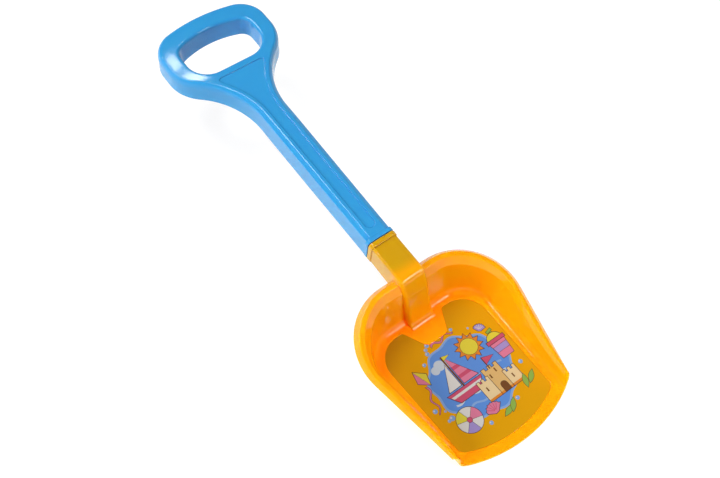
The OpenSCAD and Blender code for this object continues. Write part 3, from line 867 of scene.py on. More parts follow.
    def hole(self, grow: float) -> list[Point2]:
        """Outline of the finger hole, grown by a margin."""
        cx, y = self.base_x - self.hole_len + self.hole_end_r, self.hole_w / 2 - self.hole_corner_r
        reach = self.hole_end_r - self.hole_corner_r
        kx = cx - math.sqrt(reach**2 - y * y)
        a = 180 - math.degrees(math.asin(y / reach))
        half = arc((cx, 0), self.hole_end_r + grow, 180, a, 12)
        half += arc((kx, y), self.hole_corner_r + grow, a, 90, 18)[1:]
        centre = (self.base_x - self.hole_base_r, self.hole_w / 2 - self.hole_base_r)
        half += arc(centre, self.hole_base_r + grow, 90, 0, 20)
        return half + mirrored(half[1:])

    def panel(self, grow: float) -> list[Point2]:
        """Outline of the sunk panel, grown by a margin."""
        start, end, r = self.base_x + self.panel_margin, -self.panel_end, self.panel_r
        base = self.set_in(self.panel_inset)
        picked = [i for i, (x, y) in enumerate(base) if y > 0 and start + r < x < end - 5]
        first, last = base[picked[0]], base[picked[-1]]
        moved = self.set_in(self.panel_inset - grow)
        half = arc((start + r, first[1] - r * 0.55), r + grow, 180, 115, 8) + [moved[i] for i in picked[1:]]
        half += arc((end - last[1], 0), last[1] + grow, 90, 0, 12)[1:]
        return half + mirrored(half[:-1])

    def skin(self) -> Skin:
        """The moulding without its collar and ribs, in the shaft's frame."""
        skin, edge = Skin(), self.edge()
        profiles = [self.profile(p[0]) for p, _ in edge]
        rings = []
        for k in range(len(profiles[0])):
            ring = []
            for (p, d), prof in zip(edge, profiles):
                u, z = prof[k]
                ring.append((p[0] + d[0] * u, p[1] + d[1] * u, z))
            rings.append(skin.add(ring))
        inner = []
        inside_line = ((self.wall, -self.grip_drop * 1.5), (self.wall + 1.6, -4.4),
                       (self.shoulder_w + 1.5, -self.top))
        for u, z in inside_line:
            inner.append(skin.add((x, y, z) for x, y in self.set_in(u)))
        skin.bands([*reversed(inner), *rings], closed=True)
        hole = []
        steps = [(0.5, 0.0)]
        steps += [(-self.hole_edge_r * math.sin(a), -self.hole_edge_r * (1 - math.cos(a)))
                  for a in (math.radians(90 * i / 9) for i in range(10))]
        low, deep = -self.hole_edge_r - self.hole_draft, self.layout.grip_depth
        steps += [(low, -deep + 0.6), (low + 0.2, -deep + 0.15), (low + 0.6, -deep),
                  (low + self.wall, -deep), (-self.hole_edge_r + self.wall, -self.top)]
        for grow, z in steps:
            hole.append(skin.add((x, y, z) for x, y in self.hole(grow)))
        skin.bands(hole, closed=True)
        panel, sunk = [], -self.panel_sink
        for grow, z in ((0.6, 0.0), (0.25, 0.0), (0.1, -0.05), (0.0, -0.2), (0.0, sunk + 0.25),
                        (-0.12, sunk + 0.08), (-0.35, sunk), (-0.8, sunk)):
            panel.append(skin.add((x, y, z) for x, y in self.panel(grow)))
        skin.bands(panel, closed=True)
        skin.fill(rings[-1], [hole[0], panel[0]], (0, 1))
        skin.fill(panel[-1], [], (0, 1))
        skin.fill(inner[-1], [hole[-1]], (0, 1))
        return skin

    def ribs(self) -> list[Skin]:
        """Ribs of the open underside, in the shaft's frame."""
        inner, hole = self.set_in(self.wall - 0.5), self.hole(0.6)
        made = []

        def reach(x: float) -> float:
            """Half width inside the walls at x."""
            for (x1, y1), (x2, y2) in zip(inner, inner[1:]):
                if y1 > 0 and y2 > 0 and min(x1, x2) <= x <= max(x1, x2) and x1 != x2 and x > self.base_x:
                    return mix(y1, y2, (x - x1) / (x2 - x1))
            return self.shaft_end_w / 2 - self.wall

        def plate(a: Point2, b: Point2, low: float) -> None:
            """Adds an upright rib from a to b."""
            u = (Vector(b) - Vector(a)).normalized()
            v = Vector((-u.y, u.x)) * (self.rib_t / 2)
            rib = Skin()
            corners = [Vector(a) + v, Vector(b) + v, Vector(b) - v, Vector(a) - v]
            rows = [rib.add((c.x, c.y, z) for c in corners) for z in (low, -self.top + 0.4)]
            rib.bands(rows, closed=True)
            rib.faces += [tuple(rows[0]), tuple(reversed(rows[1]))]
            made.append(rib)

        # One rib along the shaft, ribs across it, and spokes round the finger hole
        start = (self.base_x + self.wall - self.hole_edge_r - 0.2, 0)
        plate(start, (-self.rib_end, 0), self.rib_setback - self.rib_depth)
        x = -self.collar_len - self.rib_pitch
        while x > self.base_x + self.rib_pitch / 2:
            y = reach(x)
            plate((x, -y), (x, y), self.rib_setback - self.depth(x))
            x -= self.rib_pitch
        centre = Vector((self.base_x - self.hole_len / 2, 0))
        for angle in range(45, 330, 30):
            ray = Vector(polar(1, math.radians(angle)))
            near = far = None
            for k in range(100, 800):
                p = centre + ray * (k / 10)
                if near is None and not inside((p.x, p.y), hole):
                    near = p
                if not inside((p.x, p.y), inner):
                    far = p
                    break
            if near is not None and far is not None and (far - near).length < self.rib_reach:
                plate((near.x, near.y), (far.x, far.y), self.rib_setback - self.layout.grip_depth)
        return made

    def spigot(self) -> list[Skin]:
        """Hollow spigot inside the scoop's neck and its snap catch, in the shaft's frame."""
        (w, top, low), t, end = self.spigot_box, self.wall, self.spigot_len
        outer = rounded_box(w, top, low, 1.2, 0, 6)
        inner = rounded_box(w - 2 * t, top - t, low + t, 0.8, 0, 6)
        tube = Skin()
        stations = ((-2.0, outer), (end, outer), (end, inner), (t, inner))
        tube.block([tube.add((x, y, z) for y, z in line) for x, line in stations], (1, 2))
        catch, (a, b), tip = Skin(), self.catch_span, low - self.catch_rise
        side = [(a, low + 0.5), (b, low + 0.5), (b, low), (a + 1.5, tip), (a, tip)]
        half = self.catch_w / 2
        catch.block([catch.add((x, y, z) for x, z in side) for y in (-half, half)], (0, 2))
        return [tube, catch]

    def build(self, finish: bpy.types.Material) -> bpy.types.Object:
        """Makes the moulding and puts its plastic on it.

        Args:
            finish: The plastic.

        Returns:
            The finished piece.
        """
        lay = self.layout
        piece = self.skin().mesh(self.name, lay.shaft_to_row)
        for rib in self.ribs():
            combine(piece, rib.mesh("rib_step", lay.shaft_to_row), "UNION")
        collar, seat, end, inset = Skin(), Skin(), -lay.groove / 2, self.seat_inset
        sleeve(collar, lay.lip_w, lay.lip_top, lay.lip_bottom, lay.lip_r, end - self.collar_len, end,
               lay.lip_edge_r)
        sleeve(seat, lay.lip_w - 2 * inset, lay.lip_top - inset, lay.lip_bottom + inset, lay.lip_r - inset,
               end - 2.0, 0.3 - end, 0.1)
        for step in self.spigot():
            combine(piece, step.mesh("spigot_step", lay.shaft_to_row), "UNION")
        combine(piece, collar.mesh("collar_step", lay.shaft_to_row), "UNION")
        combine(piece, seat.mesh("seat_step", lay.shaft_to_row), "UNION")
        smooth(piece, CRISP_FROM)
        piece.data.materials.clear()
        piece.data.materials.append(finish)
        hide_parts("handle")
        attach(piece, "root")
        log.info("%s: %d faces", piece.name, len(piece.data.polygons))
        return piece


# Label


@dataclass
class LabelShape:
    """Outline of the label in the scoop's frame."""

    layout: Layout = LAYOUT
    margin: float = 8.2
    corner_margin: float = 6.8
    front_margin: float = 10.0
    corner_r: float = 25.0
    front_corner_r: float = 8.0
    platform_len: float = 30.8
    platform_half: float = 7.5
    platform_r: float = 6.0
    flare: float = 64.3
    ear_r: float = 3.0

    def outline(self, grow: float) -> list[Point2]:
        """Closed outline, grown by a margin."""
        lay = self.layout
        arc_r = lay.front_r - 2 * self.front_margin
        arc_x = lay.floor_len - self.front_margin - arc_r
        fy, d = lay.floor_front_w / 2 - self.corner_margin - self.front_corner_r, arc_r - self.front_corner_r
        fx = arc_x + math.sqrt(d * d - fy * fy)
        front_a = math.degrees(math.asin(fy / d))
        out = (math.cos(math.radians(self.flare)), math.sin(math.radians(self.flare)))
        along = (-out[1], out[0])
        cx, cy = self.margin + self.corner_r, lay.floor_w / 2 - self.margin - self.corner_r
        bx = self.platform_len - self.platform_r + (self.platform_r + self.ear_r) * out[0]
        by = self.platform_half + (self.platform_r + self.ear_r) * out[1]
        ex = self.margin + self.ear_r
        ey = by + along[1] * (ex - bx) / along[0]
        gap = self.corner_r - self.front_corner_r
        side = math.degrees(math.atan2(fy - cy, fx - cx) + math.acos(gap / math.hypot(fx - cx, fy - cy)))
        platform = (self.platform_len - self.platform_r, self.platform_half)
        half = arc(platform, self.platform_r - grow, 0, self.flare, 10)
        half += arc((ex, ey), self.ear_r + grow, 180 + self.flare, 180, 8)
        half += arc((cx, cy), self.corner_r + grow, 180, side, 20)
        half += arc((fx, fy), self.front_corner_r + grow, side, front_a, 10)
        half += arc((arc_x, 0), arc_r + grow, front_a, 0, 16)[1:]
        return half + mirrored(half[:-1])


class Ink(Enum):
    """Inks of the label's print."""

    GOLD = "#C38B09"
    SEA = "#517BBB"
    SKY = "#7290BB"
    FOAM = "#A6B0BA"
    WHITE = "#BAB8B4"
    YELLOW = "#BCB038"
    ORANGE = "#BC722A"
    PINK = "#BA6A84"
    ROSE = "#AB4760"
    GREEN = "#799742"
    BROWN = "#654023"
    LILAC = "#8C7CB0"
    SAND = "#BC9A62"
    SHELL = "#C4AE84"
    LINE = "#3A2B2C"


@dataclass
class Print:
    """The label's pattern: flat shapes in draw order, drawn with up towards the handle."""

    centre: Point2 = (74.5, 2.0)
    seed: int = 7
    shapes: list[tuple[Ink, list[Point2]]] = field(default_factory=list)

    def put(self, ink: Ink, points: Iterable[Point2], at: Point2, size: float = 1.0, turn: float = 0.0,
            line: float = 0.5) -> None:
        """Adds a shape drawn as (right, up) points.

        Args:
            ink: Its ink.
            points: Its outline.
            at: Where its origin goes, as (right, up) from the pattern's centre.
            size: Scale.
            turn: Turn to the left in degrees.
            line: Width of the dark line drawn round it, 0 for none.
        """
        c, s = math.cos(math.radians(turn)), math.sin(math.radians(turn))
        placed = []
        for u, v in points:
            right = at[0] + size * (u * c - v * s)
            up = at[1] + size * (u * s + v * c)
            placed.append((self.centre[0] - up, self.centre[1] + right))
        if line:
            self.shapes.append((Ink.LINE, grown(placed, line)))
        self.shapes.append((ink, placed))

    def disc(self, ink: Ink, at: Point2, r: float, n: int = 28, line: float = 0.5) -> None:
        """Adds a disc."""
        self.put(ink, arc((0, 0), r, 0, 360, n)[:-1], at, line=line)

    def scallop(self, ink: Ink, r: float, depth: float, waves: int) -> None:
        """Adds a disc with a gently waved edge."""
        points = []
        for i in range(waves * 10):
            a = math.tau * i / (waves * 10)
            points.append(polar(r + depth * math.cos(a * waves), a))
        self.put(ink, points, (0, 0), line=0)

    def boat(self, at: Point2, size: float) -> None:
        """Sailing boat."""
        self.put(Ink.BROWN, rectangle(-0.5, 0, 0.5, 25), at, size, line=0.2)
        self.put(Ink.ROSE, [(-14, 0), (14, 0), (9, -8), (-9, -8)], at, size)
        self.put(Ink.WHITE, [(-12.4, -2), (12.4, -2), (11.2, -3.8), (-11.2, -3.8)], at, size, line=0)
        self.put(Ink.PINK, [(1.3, 1.6), (13, 1.6), (1.3, 23)], at, size)
        for low in (5.5, 12.5):
            stripe = [(1.3, low), (13 - 0.55 * (low - 1.6), low), (13 - 0.55 * (low + 1), low + 2.6),
                      (1.3, low + 2.6)]
            self.put(Ink.ROSE, stripe, at, size, line=0)
        self.put(Ink.WHITE, [(-1.3, 1.6), (-11, 1.6), (-1.3, 19)], at, size)
        self.put(Ink.YELLOW, [(0.5, 25), (6, 23.4), (0.5, 21.8)], at, size, line=0.3)

    def castle(self, at: Point2, size: float) -> None:
        """Sand castle with three towers, a gate and a flag."""
        for ink, x, w, h in ((Ink.SAND, 0, 12, 20), (Ink.SHELL, -9.5, 9, 15), (Ink.SHELL, 9.5, 9, 12)):
            foot, half, tooth = (at[0] + x * size, at[1]), w / 2, w / 5
            top = [(half, h)]
            for k in range(2):
                right = half - (2 * k + 1) * tooth
                top += [(right, h), (right, h - 2), (right - tooth, h - 2), (right - tooth, h)]
            self.put(ink, [(-half, 0), (half, 0), *top, (-half, h)], foot, size)
            self.put(Ink.ORANGE, rectangle(-half, 0, half, 1.6), foot, size, line=0)
        for x, y in ((-10.5, 6.5), (-3, 12), (2.2, 14), (9, 4.5)):
            self.put(Ink.BROWN, rectangle(x - 0.5, y, x + 0.5, y + 3), at, size, line=0)
        self.put(Ink.BROWN, [(-2, 0), (2.6, 0), *arc((0.3, 4.6), 2.3, 0, 180, 8)], at, size, line=0.3)
        self.put(Ink.BROWN, rectangle(-0.3, 18, 0.3, 27), at, size, line=0.15)
        self.put(Ink.ROSE, [(0.3, 27), (8, 24.4), (0.3, 21.6)], at, size, line=0.35)

    def ball(self, at: Point2, r: float) -> None:
        """Beach ball with coloured gores."""
        self.disc(Ink.WHITE, at, r)
        for turn, ink in ((15, Ink.PINK), (135, Ink.YELLOW), (255, Ink.LILAC)):
            self.put(ink, [(0, 0), *arc((0, 0), r, -30, 30, 8)], at, turn=turn, line=0.3)
        self.disc(Ink.ROSE, at, r * 0.2, 14, line=0.3)

    def pail(self, at: Point2, size: float) -> None:
        """Pail heaped with sand, a small spade stuck in it."""
        self.put(Ink.GREEN, [(2.4, 6), (3.8, 6.4), (1.6, 15.6), (0.2, 15.2)], at, size, line=0.35)
        self.put(Ink.GREEN, [(-1.6, 14.4), (3.2, 15.8), (2.8, 17.6), (-2.2, 16.2)], at, size, line=0.35)
        self.put(Ink.YELLOW, arc((0, 7.5), 6.4, 0, 180, 12), at, size)
        self.put(Ink.PINK, [(-7, 8), (7, 8), (5, -8), (-5, -8)], at, size)
        self.put(Ink.LILAC, [(-6.3, 2.4), (6.3, 2.4), (5.7, -2.4), (-5.7, -2.4)], at, size, line=0.3)
        self.put(Ink.ROSE, rectangle(-8, 8.6, 8, 5.8), at, size)

    def shell(self, at: Point2, size: float, turn: float, ink: Ink, rib: Ink) -> None:
        """Fan-shaped shell."""
        rim = [polar(8 + 0.5 * math.cos(math.tau * i / 3), math.radians(20 + i * 7)) for i in range(21)]
        self.put(ink, [(-1.6, -1.6), (1.6, -1.6), *rim], at, size, turn)
        for a in (44, 67, 90, 113, 136):
            x, y = polar(1, math.radians(a))
            ray = [(1.2 * x - 0.25 * y, 1.2 * y + 0.25 * x), (1.2 * x + 0.25 * y, 1.2 * y - 0.25 * x),
                   (7.2 * x + 0.3 * y, 7.2 * y - 0.3 * x), (7.2 * x - 0.3 * y, 7.2 * y + 0.3 * x)]
            self.put(rib, ray, at, size, turn, line=0)

    def ribbon(self, ink: Ink, start: Point2, end: Point2, swing: float, waves: float, wide: float) -> None:
        """Waving ribbon between two points."""
        run = math.dist(start, end)
        ux, uy = (end[0] - start[0]) / run, (end[1] - start[1]) / run
        left, right = [], []
        for i in range(25):
            t = i / 24
            off = swing * math.sin(math.tau * waves * t)
            half = wide / 2 * (1 - 0.6 * t)
            for side, row in ((1, left), (-1, right)):
                d = off + side * half
                row.append((start[0] + run * t * ux - d * uy, start[1] + run * t * uy + d * ux))
        self.put(ink, left + right[::-1], (0, 0), line=0.35)

    def compose(self) -> None:
        """Draws the beach pattern."""
        rng = random.Random(self.seed)
        self.scallop(Ink.SKY, 38.6, 1.6, 9)
        self.scallop(Ink.SEA, 36.6, 1.6, 9)
        # Clouds, and waves along the lower half
        for at, r in (((-23, 21), 4.0), ((-17.5, 23), 5.0), ((-11.5, 21), 4.0)):
            self.disc(Ink.FOAM, at, r, 20, line=0)
        for row, ink in ((-4, Ink.SKY), (-13, Ink.FOAM), (-22, Ink.SKY)):
            top = [(x, row + 1.5 * math.sin(x / 3.2)) for x in range(-29, 30, 2)]
            self.put(ink, top + [(x, y - 1.9) for x, y in reversed(top)], (0, 0), line=0)
        # Sun with rays
        rays = [polar(13 if i % 2 else 9, math.tau * i / 24) for i in range(24)]
        self.put(Ink.ORANGE, rays, (15, 22))
        self.disc(Ink.YELLOW, (15, 22), 7.8, line=0.35)
        self.boat((-12, -4), 1.3)
        self.castle((16, -29), 1.35)
        self.ball((-28, -30), 11.5)
        self.pail((38, 5), 1.15)
        self.shell((-5, -37), 1.0, 8, Ink.PINK, Ink.ROSE)
        self.shell((33, 29), 0.7, -30, Ink.LILAC, Ink.WHITE)
        # Leaf sprays at the foot
        for at, turn in (((-2, -45), -70), ((6, -46), -40), ((31, -37), -20), ((35, -35), -48)):
            leaf = [(2.3 * math.sin(math.pi * i / 8), 13 * i / 8) for i in range(9)]
            self.put(Ink.GREEN, leaf + [(-x, y) for x, y in reversed(leaf[1:-1])], at, turn=turn, line=0.35)
        # Kite with a tail on the left, a streamer above
        self.ribbon(Ink.PINK, (-39, 14), (-44, -12), 1.8, 1.6, 1.6)
        self.put(Ink.PINK, [(0, 10), (6, 0), (0, -9), (-6, 0)], (-37, 22), turn=18)
        self.put(Ink.YELLOW, [(0, 10), (6, 0), (0, -9)], (-37, 22), turn=18, line=0.3)
        self.ribbon(Ink.PINK, (-12, 41), (12, 43), 1.9, 1.8, 2.2)
        # Bubbles round the edge, clear of the other figures, whose circles are (right, up, radius)
        taken = ((-37, 22, 13), (-28, -30, 14), (38, 8, 15), (-42, 2, 7), (0, 42, 12), (33, 30, 9),
                 (33, -34, 10), (3, -44, 11), (16, -20, 18))
        for _ in range(30):
            a, k = rng.uniform(0, 360), rng.uniform(41, 48)
            x, y = polar(k, math.radians(a))
            if all(math.hypot(x - u, y - v) > far for u, v, far in taken):
                r = rng.uniform(1.0, 2.5)
                self.disc(Ink.SKY, (x, y), r, 16, line=0)
                self.disc(Ink.WHITE, (x - 0.3 * r, y + 0.35 * r), 0.35 * r, 8, line=0)


@dataclass
class Label:
    """The printed film in the scoop's floor."""

    layout: Layout = LAYOUT
    thick: float = 0.3
    edge: float = 0.12
    name: str = "label_film_print"

    def build(self, finish: bpy.types.Material) -> bpy.types.Object:
        """Makes the film, its inks stored as a colour on each face.

        Args:
            finish: The film's material, which reads the inks.

        Returns:
            The finished piece.
        """
        shape, art = LabelShape(), Print()
        art.compose()
        outline = shape.outline(-self.edge)
        loops = [outline] + [points for _, points in art.shapes]
        flat = [Vector(p) for loop in loops for p in loop]
        verts, _, faces, _, _, _ = delaunay_2d_cdt(flat, loop_edges(loops), [], 0, 1e-5)
        drawn = []
        for ink, points in art.shapes:
            xs, ys = [x for x, _ in points], [y for _, y in points]
            drawn.append((ink, points, (min(xs), min(ys), max(xs), max(ys))))
        skin, inks, sink = Skin(), [], self.layout.label_sink
        top = self.thick - sink
        ids = skin.add((v.x, v.y, top) for v in verts)
        for face in faces:
            x, y = middle(verts, face)
            if not inside((x, y), outline):
                continue
            ink = Ink.GOLD
            for colour, points, (x0, y0, x1, y1) in drawn:
                if x0 < x < x1 and y0 < y < y1 and inside((x, y), points):
                    ink = colour
            skin.faces.append(tuple(ids[k] for k in face))
            inks.append(ink)
        steps = ((-self.edge, top), (-0.04, top - 0.04), (0.0, top - self.edge), (0.0, -sink))
        rim = [skin.add((x, y, z) for x, y in shape.outline(grow)) for grow, z in steps]
        skin.bands(rim, closed=True)
        skin.fill(rim[-1], [], (0, 1))
        inks += [Ink.GOLD] * (len(skin.faces) - len(inks))

        def paint(data: bpy.types.Mesh) -> None:
            """Stores each face's ink as the colour of its corners."""
            colours = data.color_attributes.new("ink", "FLOAT_COLOR", "CORNER")
            for polygon in data.polygons:
                rgba = linear(inks[polygon.index].value)
                for loop in polygon.loop_indices:
                    colours.data[loop].color = rgba

        piece = skin.mesh(self.name, self.layout.scoop_to_row, paint)
        piece.data.materials.append(finish)
        smooth(piece, 30)
        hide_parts("label")
        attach(piece, "root")
        log.info("%s: %d faces", piece.name, len(piece.data.polygons))
        return piece


# Materials


def add_node(tree: Tree, kind: str, inputs: dict | None = None, links: dict | None = None,
             **settings: object) -> bpy.types.Node:
    """Adds a shader node.

    Args:
        tree: The node tree.
        kind: The node's type.
        inputs: Socket name or number to value.
        links: Socket name or number to the output socket that feeds it.
        **settings: Attributes of the node.

    Returns:
        The node.
    """
    node = tree.nodes.new(kind)
    for key, value in settings.items():
        setattr(node, key, value)
    for key, value in (inputs or {}).items():
        node.inputs[key].default_value = value
    for key, source in (links or {}).items():
        tree.links.new(source, node.inputs[key])
    return node


def map_range(tree: Tree, value: Socket, span: Point2, target: Point2, **settings: object) -> Socket:
    """Turns a span of values into a target span, held at both ends.

    Args:
        tree: The node tree.
        value: The value.
        span: Where it starts and ends.
        target: What these two become.
        **settings: Attributes of the node.

    Returns:
        The new value.
    """
    inputs = {"From Min": span[0], "From Max": span[1], "To Min": target[0], "To Max": target[1]}
    return add_node(tree, "ShaderNodeMapRange", inputs, {"Value": value}, **settings).outputs["Result"]


def noise(tree: Tree, place: Socket, size_mm: float, detail: float, roughness: float = 0.5) -> Socket:
    """Noise over the object.

    Args:
        tree: The node tree.
        place: Coordinates in metres.
        size_mm: Size of its waves.
        detail: How many finer layers it has.
        roughness: How strong these are.

    Returns:
        Its value, from 0 to 1.
    """
    inputs = {"Scale": 1 / (size_mm * MM), "Detail": detail, "Roughness": roughness}
    return add_node(tree, "ShaderNodeTexNoise", inputs, {"Vector": place}).outputs["Fac"]


def tint(tree: Tree, base: Socket, shade: str, share: Socket) -> Socket:
    """Mixes a share of one shade into a colour."""
    mixed = add_node(tree, "ShaderNodeMix", {7: linear(shade)}, {0: share, 6: base}, data_type="RGBA")
    return mixed.outputs[2]


def either(tree: Tree, a: Socket, b: Socket) -> Socket:
    """1 where one of two conditions holds, 0 elsewhere."""
    return add_node(tree, "ShaderNodeMath", links={0: a, 1: b}, operation="MAXIMUM").outputs[0]


def choose(tree: Tree, share: Socket, first: Socket, second: Socket) -> Socket:
    """The first shader where share is 0 and the second where it is 1."""
    return add_node(tree, "ShaderNodeMixShader", links={0: share, 1: first, 2: second}).outputs[0]


def new_material(name: str) -> tuple[bpy.types.Material, Tree]:
    """Makes an empty node material and returns it with its tree."""
    made = bpy.data.materials.new(name)
    made.use_nodes = True
    made.node_tree.nodes.clear()
    return made, made.node_tree


@dataclass(frozen=True)
class MouldedPolypropylene:
    """Injection-moulded polypropylene straight from a polished tool.

    A polished mould gives a glossy skin, so the eye sees sharp-edged but soft reflections. The melt
    freezes with a faint waviness of some millimetres, which bends those reflections a little, and
    the tool's polish leaves a fine haze. The plastic itself is slightly cloudy: light goes a few
    millimetres into it, so that shaded walls glow in its own colour.
    """

    name: str
    shade: str
    deep: str
    glow: tuple[float, float, float]
    scatter: float
    scatter_mm: float
    ior: float = 1.49
    roughness: tuple[float, float] = (0.045, 0.07)
    wave_mm: float = 9.0
    ease_mm: float = 0.7
    grain_mm: float = 0.6
    behind: str = ""
    behind_mm: tuple[float, float] = (0.0, 1.0)
    # Painted shade: a deeper colour mixed into recesses by ambient occlusion, with its reach and the
    # openness it fades over
    recess: str = ""
    painted_shade_mm: float = 60.0
    painted_shade_open: tuple[float, float] = (0.45, 0.78)

    def build(self) -> bpy.types.Material:
        """Makes the material."""
        made, tree = new_material(self.name)
        place = add_node(tree, "ShaderNodeTexCoord").outputs["Object"]
        # The melt's flow lines, where the shade is a little deeper
        flow = noise(tree, place, self.wave_mm * 4, 3.0, 0.45)
        weight = map_range(tree, flow, (0.3, 0.75), (0.0, 0.35))
        base = add_node(tree, "ShaderNodeMix", {6: linear(self.shade), 7: linear(self.deep)}, {0: weight},
                        data_type="RGBA").outputs[2]
        if self.behind:
            # The part plugged in behind the thin wall shows through it
            along = add_node(tree, "ShaderNodeSeparateXYZ", links={"Vector": place}).outputs["X"]
            start, end = self.behind_mm
            share = map_range(tree, along, (start * MM, end * MM), (1.0, 0.0),
                              interpolation_type="SMOOTHSTEP")
            base = tint(tree, base, self.behind, share)
        if self.recess:
            # Painted shade: ambient occlusion mixes a deeper colour into recesses, in place of their shade
            # and the light passed from wall to wall there
            hollow = add_node(tree, "ShaderNodeAmbientOcclusion", {"Distance": self.painted_shade_mm * MM},
                              samples=6, only_local=True)
            share = map_range(tree, hollow.outputs["AO"], self.painted_shade_open, (1.0, 0.0))
            base = tint(tree, base, self.recess, share)
        polish = noise(tree, place, self.wave_mm, 5.0)
        rough = map_range(tree, polish, (0.3, 0.7), self.roughness)
        grain = noise(tree, place, self.grain_mm, 2.0)
        # Where two faces meet, the mould is eased by a cutter's radius
        eased = add_node(tree, "ShaderNodeBevel", {"Radius": self.ease_mm * MM}, samples=4)
        fine = add_node(tree, "ShaderNodeBump", {"Strength": 0.015, "Distance": 0.00004},
                        {"Height": grain, "Normal": eased.outputs["Normal"]})
        wave = noise(tree, place, self.wave_mm * 1.6, 1.0)
        broad = add_node(tree, "ShaderNodeBump", {"Strength": 0.06, "Distance": 0.0002},
                         {"Height": wave, "Normal": fine.outputs["Normal"]})
        skin = add_node(tree, "ShaderNodeBsdfPrincipled",
                        {"IOR": self.ior, "Subsurface Weight": self.scatter, "Subsurface Radius": self.glow,
                         "Subsurface Scale": self.scatter_mm * MM},
                        {"Base Color": base, "Roughness": rough, "Normal": broad.outputs["Normal"]})
        add_node(tree, "ShaderNodeOutputMaterial", links={"Surface": skin.outputs["BSDF"]})
        return made


@dataclass(frozen=True)
class PrintedFilm:
    """Printed polypropylene film under a clear gloss coat.

    The inks are laid down in fine dots and take the light softly; the clear coat above them mirrors
    the room like a thin sheet of glass, with a faint ripple from laying the film by hand.
    """

    name: str = "printed_film_with_gloss_coat"
    ior: float = 1.5
    ink_roughness: float = 0.45
    coat_roughness: float = 0.06
    ripple_mm: float = 14.0
    dot_mm: float = 0.45
    dot_shade: tuple[float, float] = (0.96, 1.02)

    def build(self) -> bpy.types.Material:
        """Makes the material."""
        made, tree = new_material(self.name)
        place = add_node(tree, "ShaderNodeTexCoord").outputs["Object"]
        ink = add_node(tree, "ShaderNodeAttribute", attribute_name="ink")
        dots = add_node(tree, "ShaderNodeTexVoronoi", {"Scale": 1 / (self.dot_mm * MM)}, {"Vector": place})
        level = map_range(tree, dots.outputs["Distance"], (0.1, 0.6), self.dot_shade)
        colour = add_node(tree, "ShaderNodeHueSaturation",
                          links={"Color": ink.outputs["Color"], "Value": level})
        ripple = noise(tree, place, self.ripple_mm, 1.5)
        bump = add_node(tree, "ShaderNodeBump", {"Strength": 0.3, "Distance": 0.0002}, {"Height": ripple})
        film = add_node(tree, "ShaderNodeBsdfPrincipled",
                        {"IOR": self.ior, "Specular IOR Level": 0.0, "Roughness": self.ink_roughness,
                         "Coat Weight": 1.0, "Coat Roughness": self.coat_roughness, "Coat IOR": self.ior},
                        {"Base Color": colour.outputs["Color"], "Coat Normal": bump.outputs["Normal"]})
        add_node(tree, "ShaderNodeOutputMaterial", links={"Surface": film.outputs["BSDF"]})
        return made


# Studio


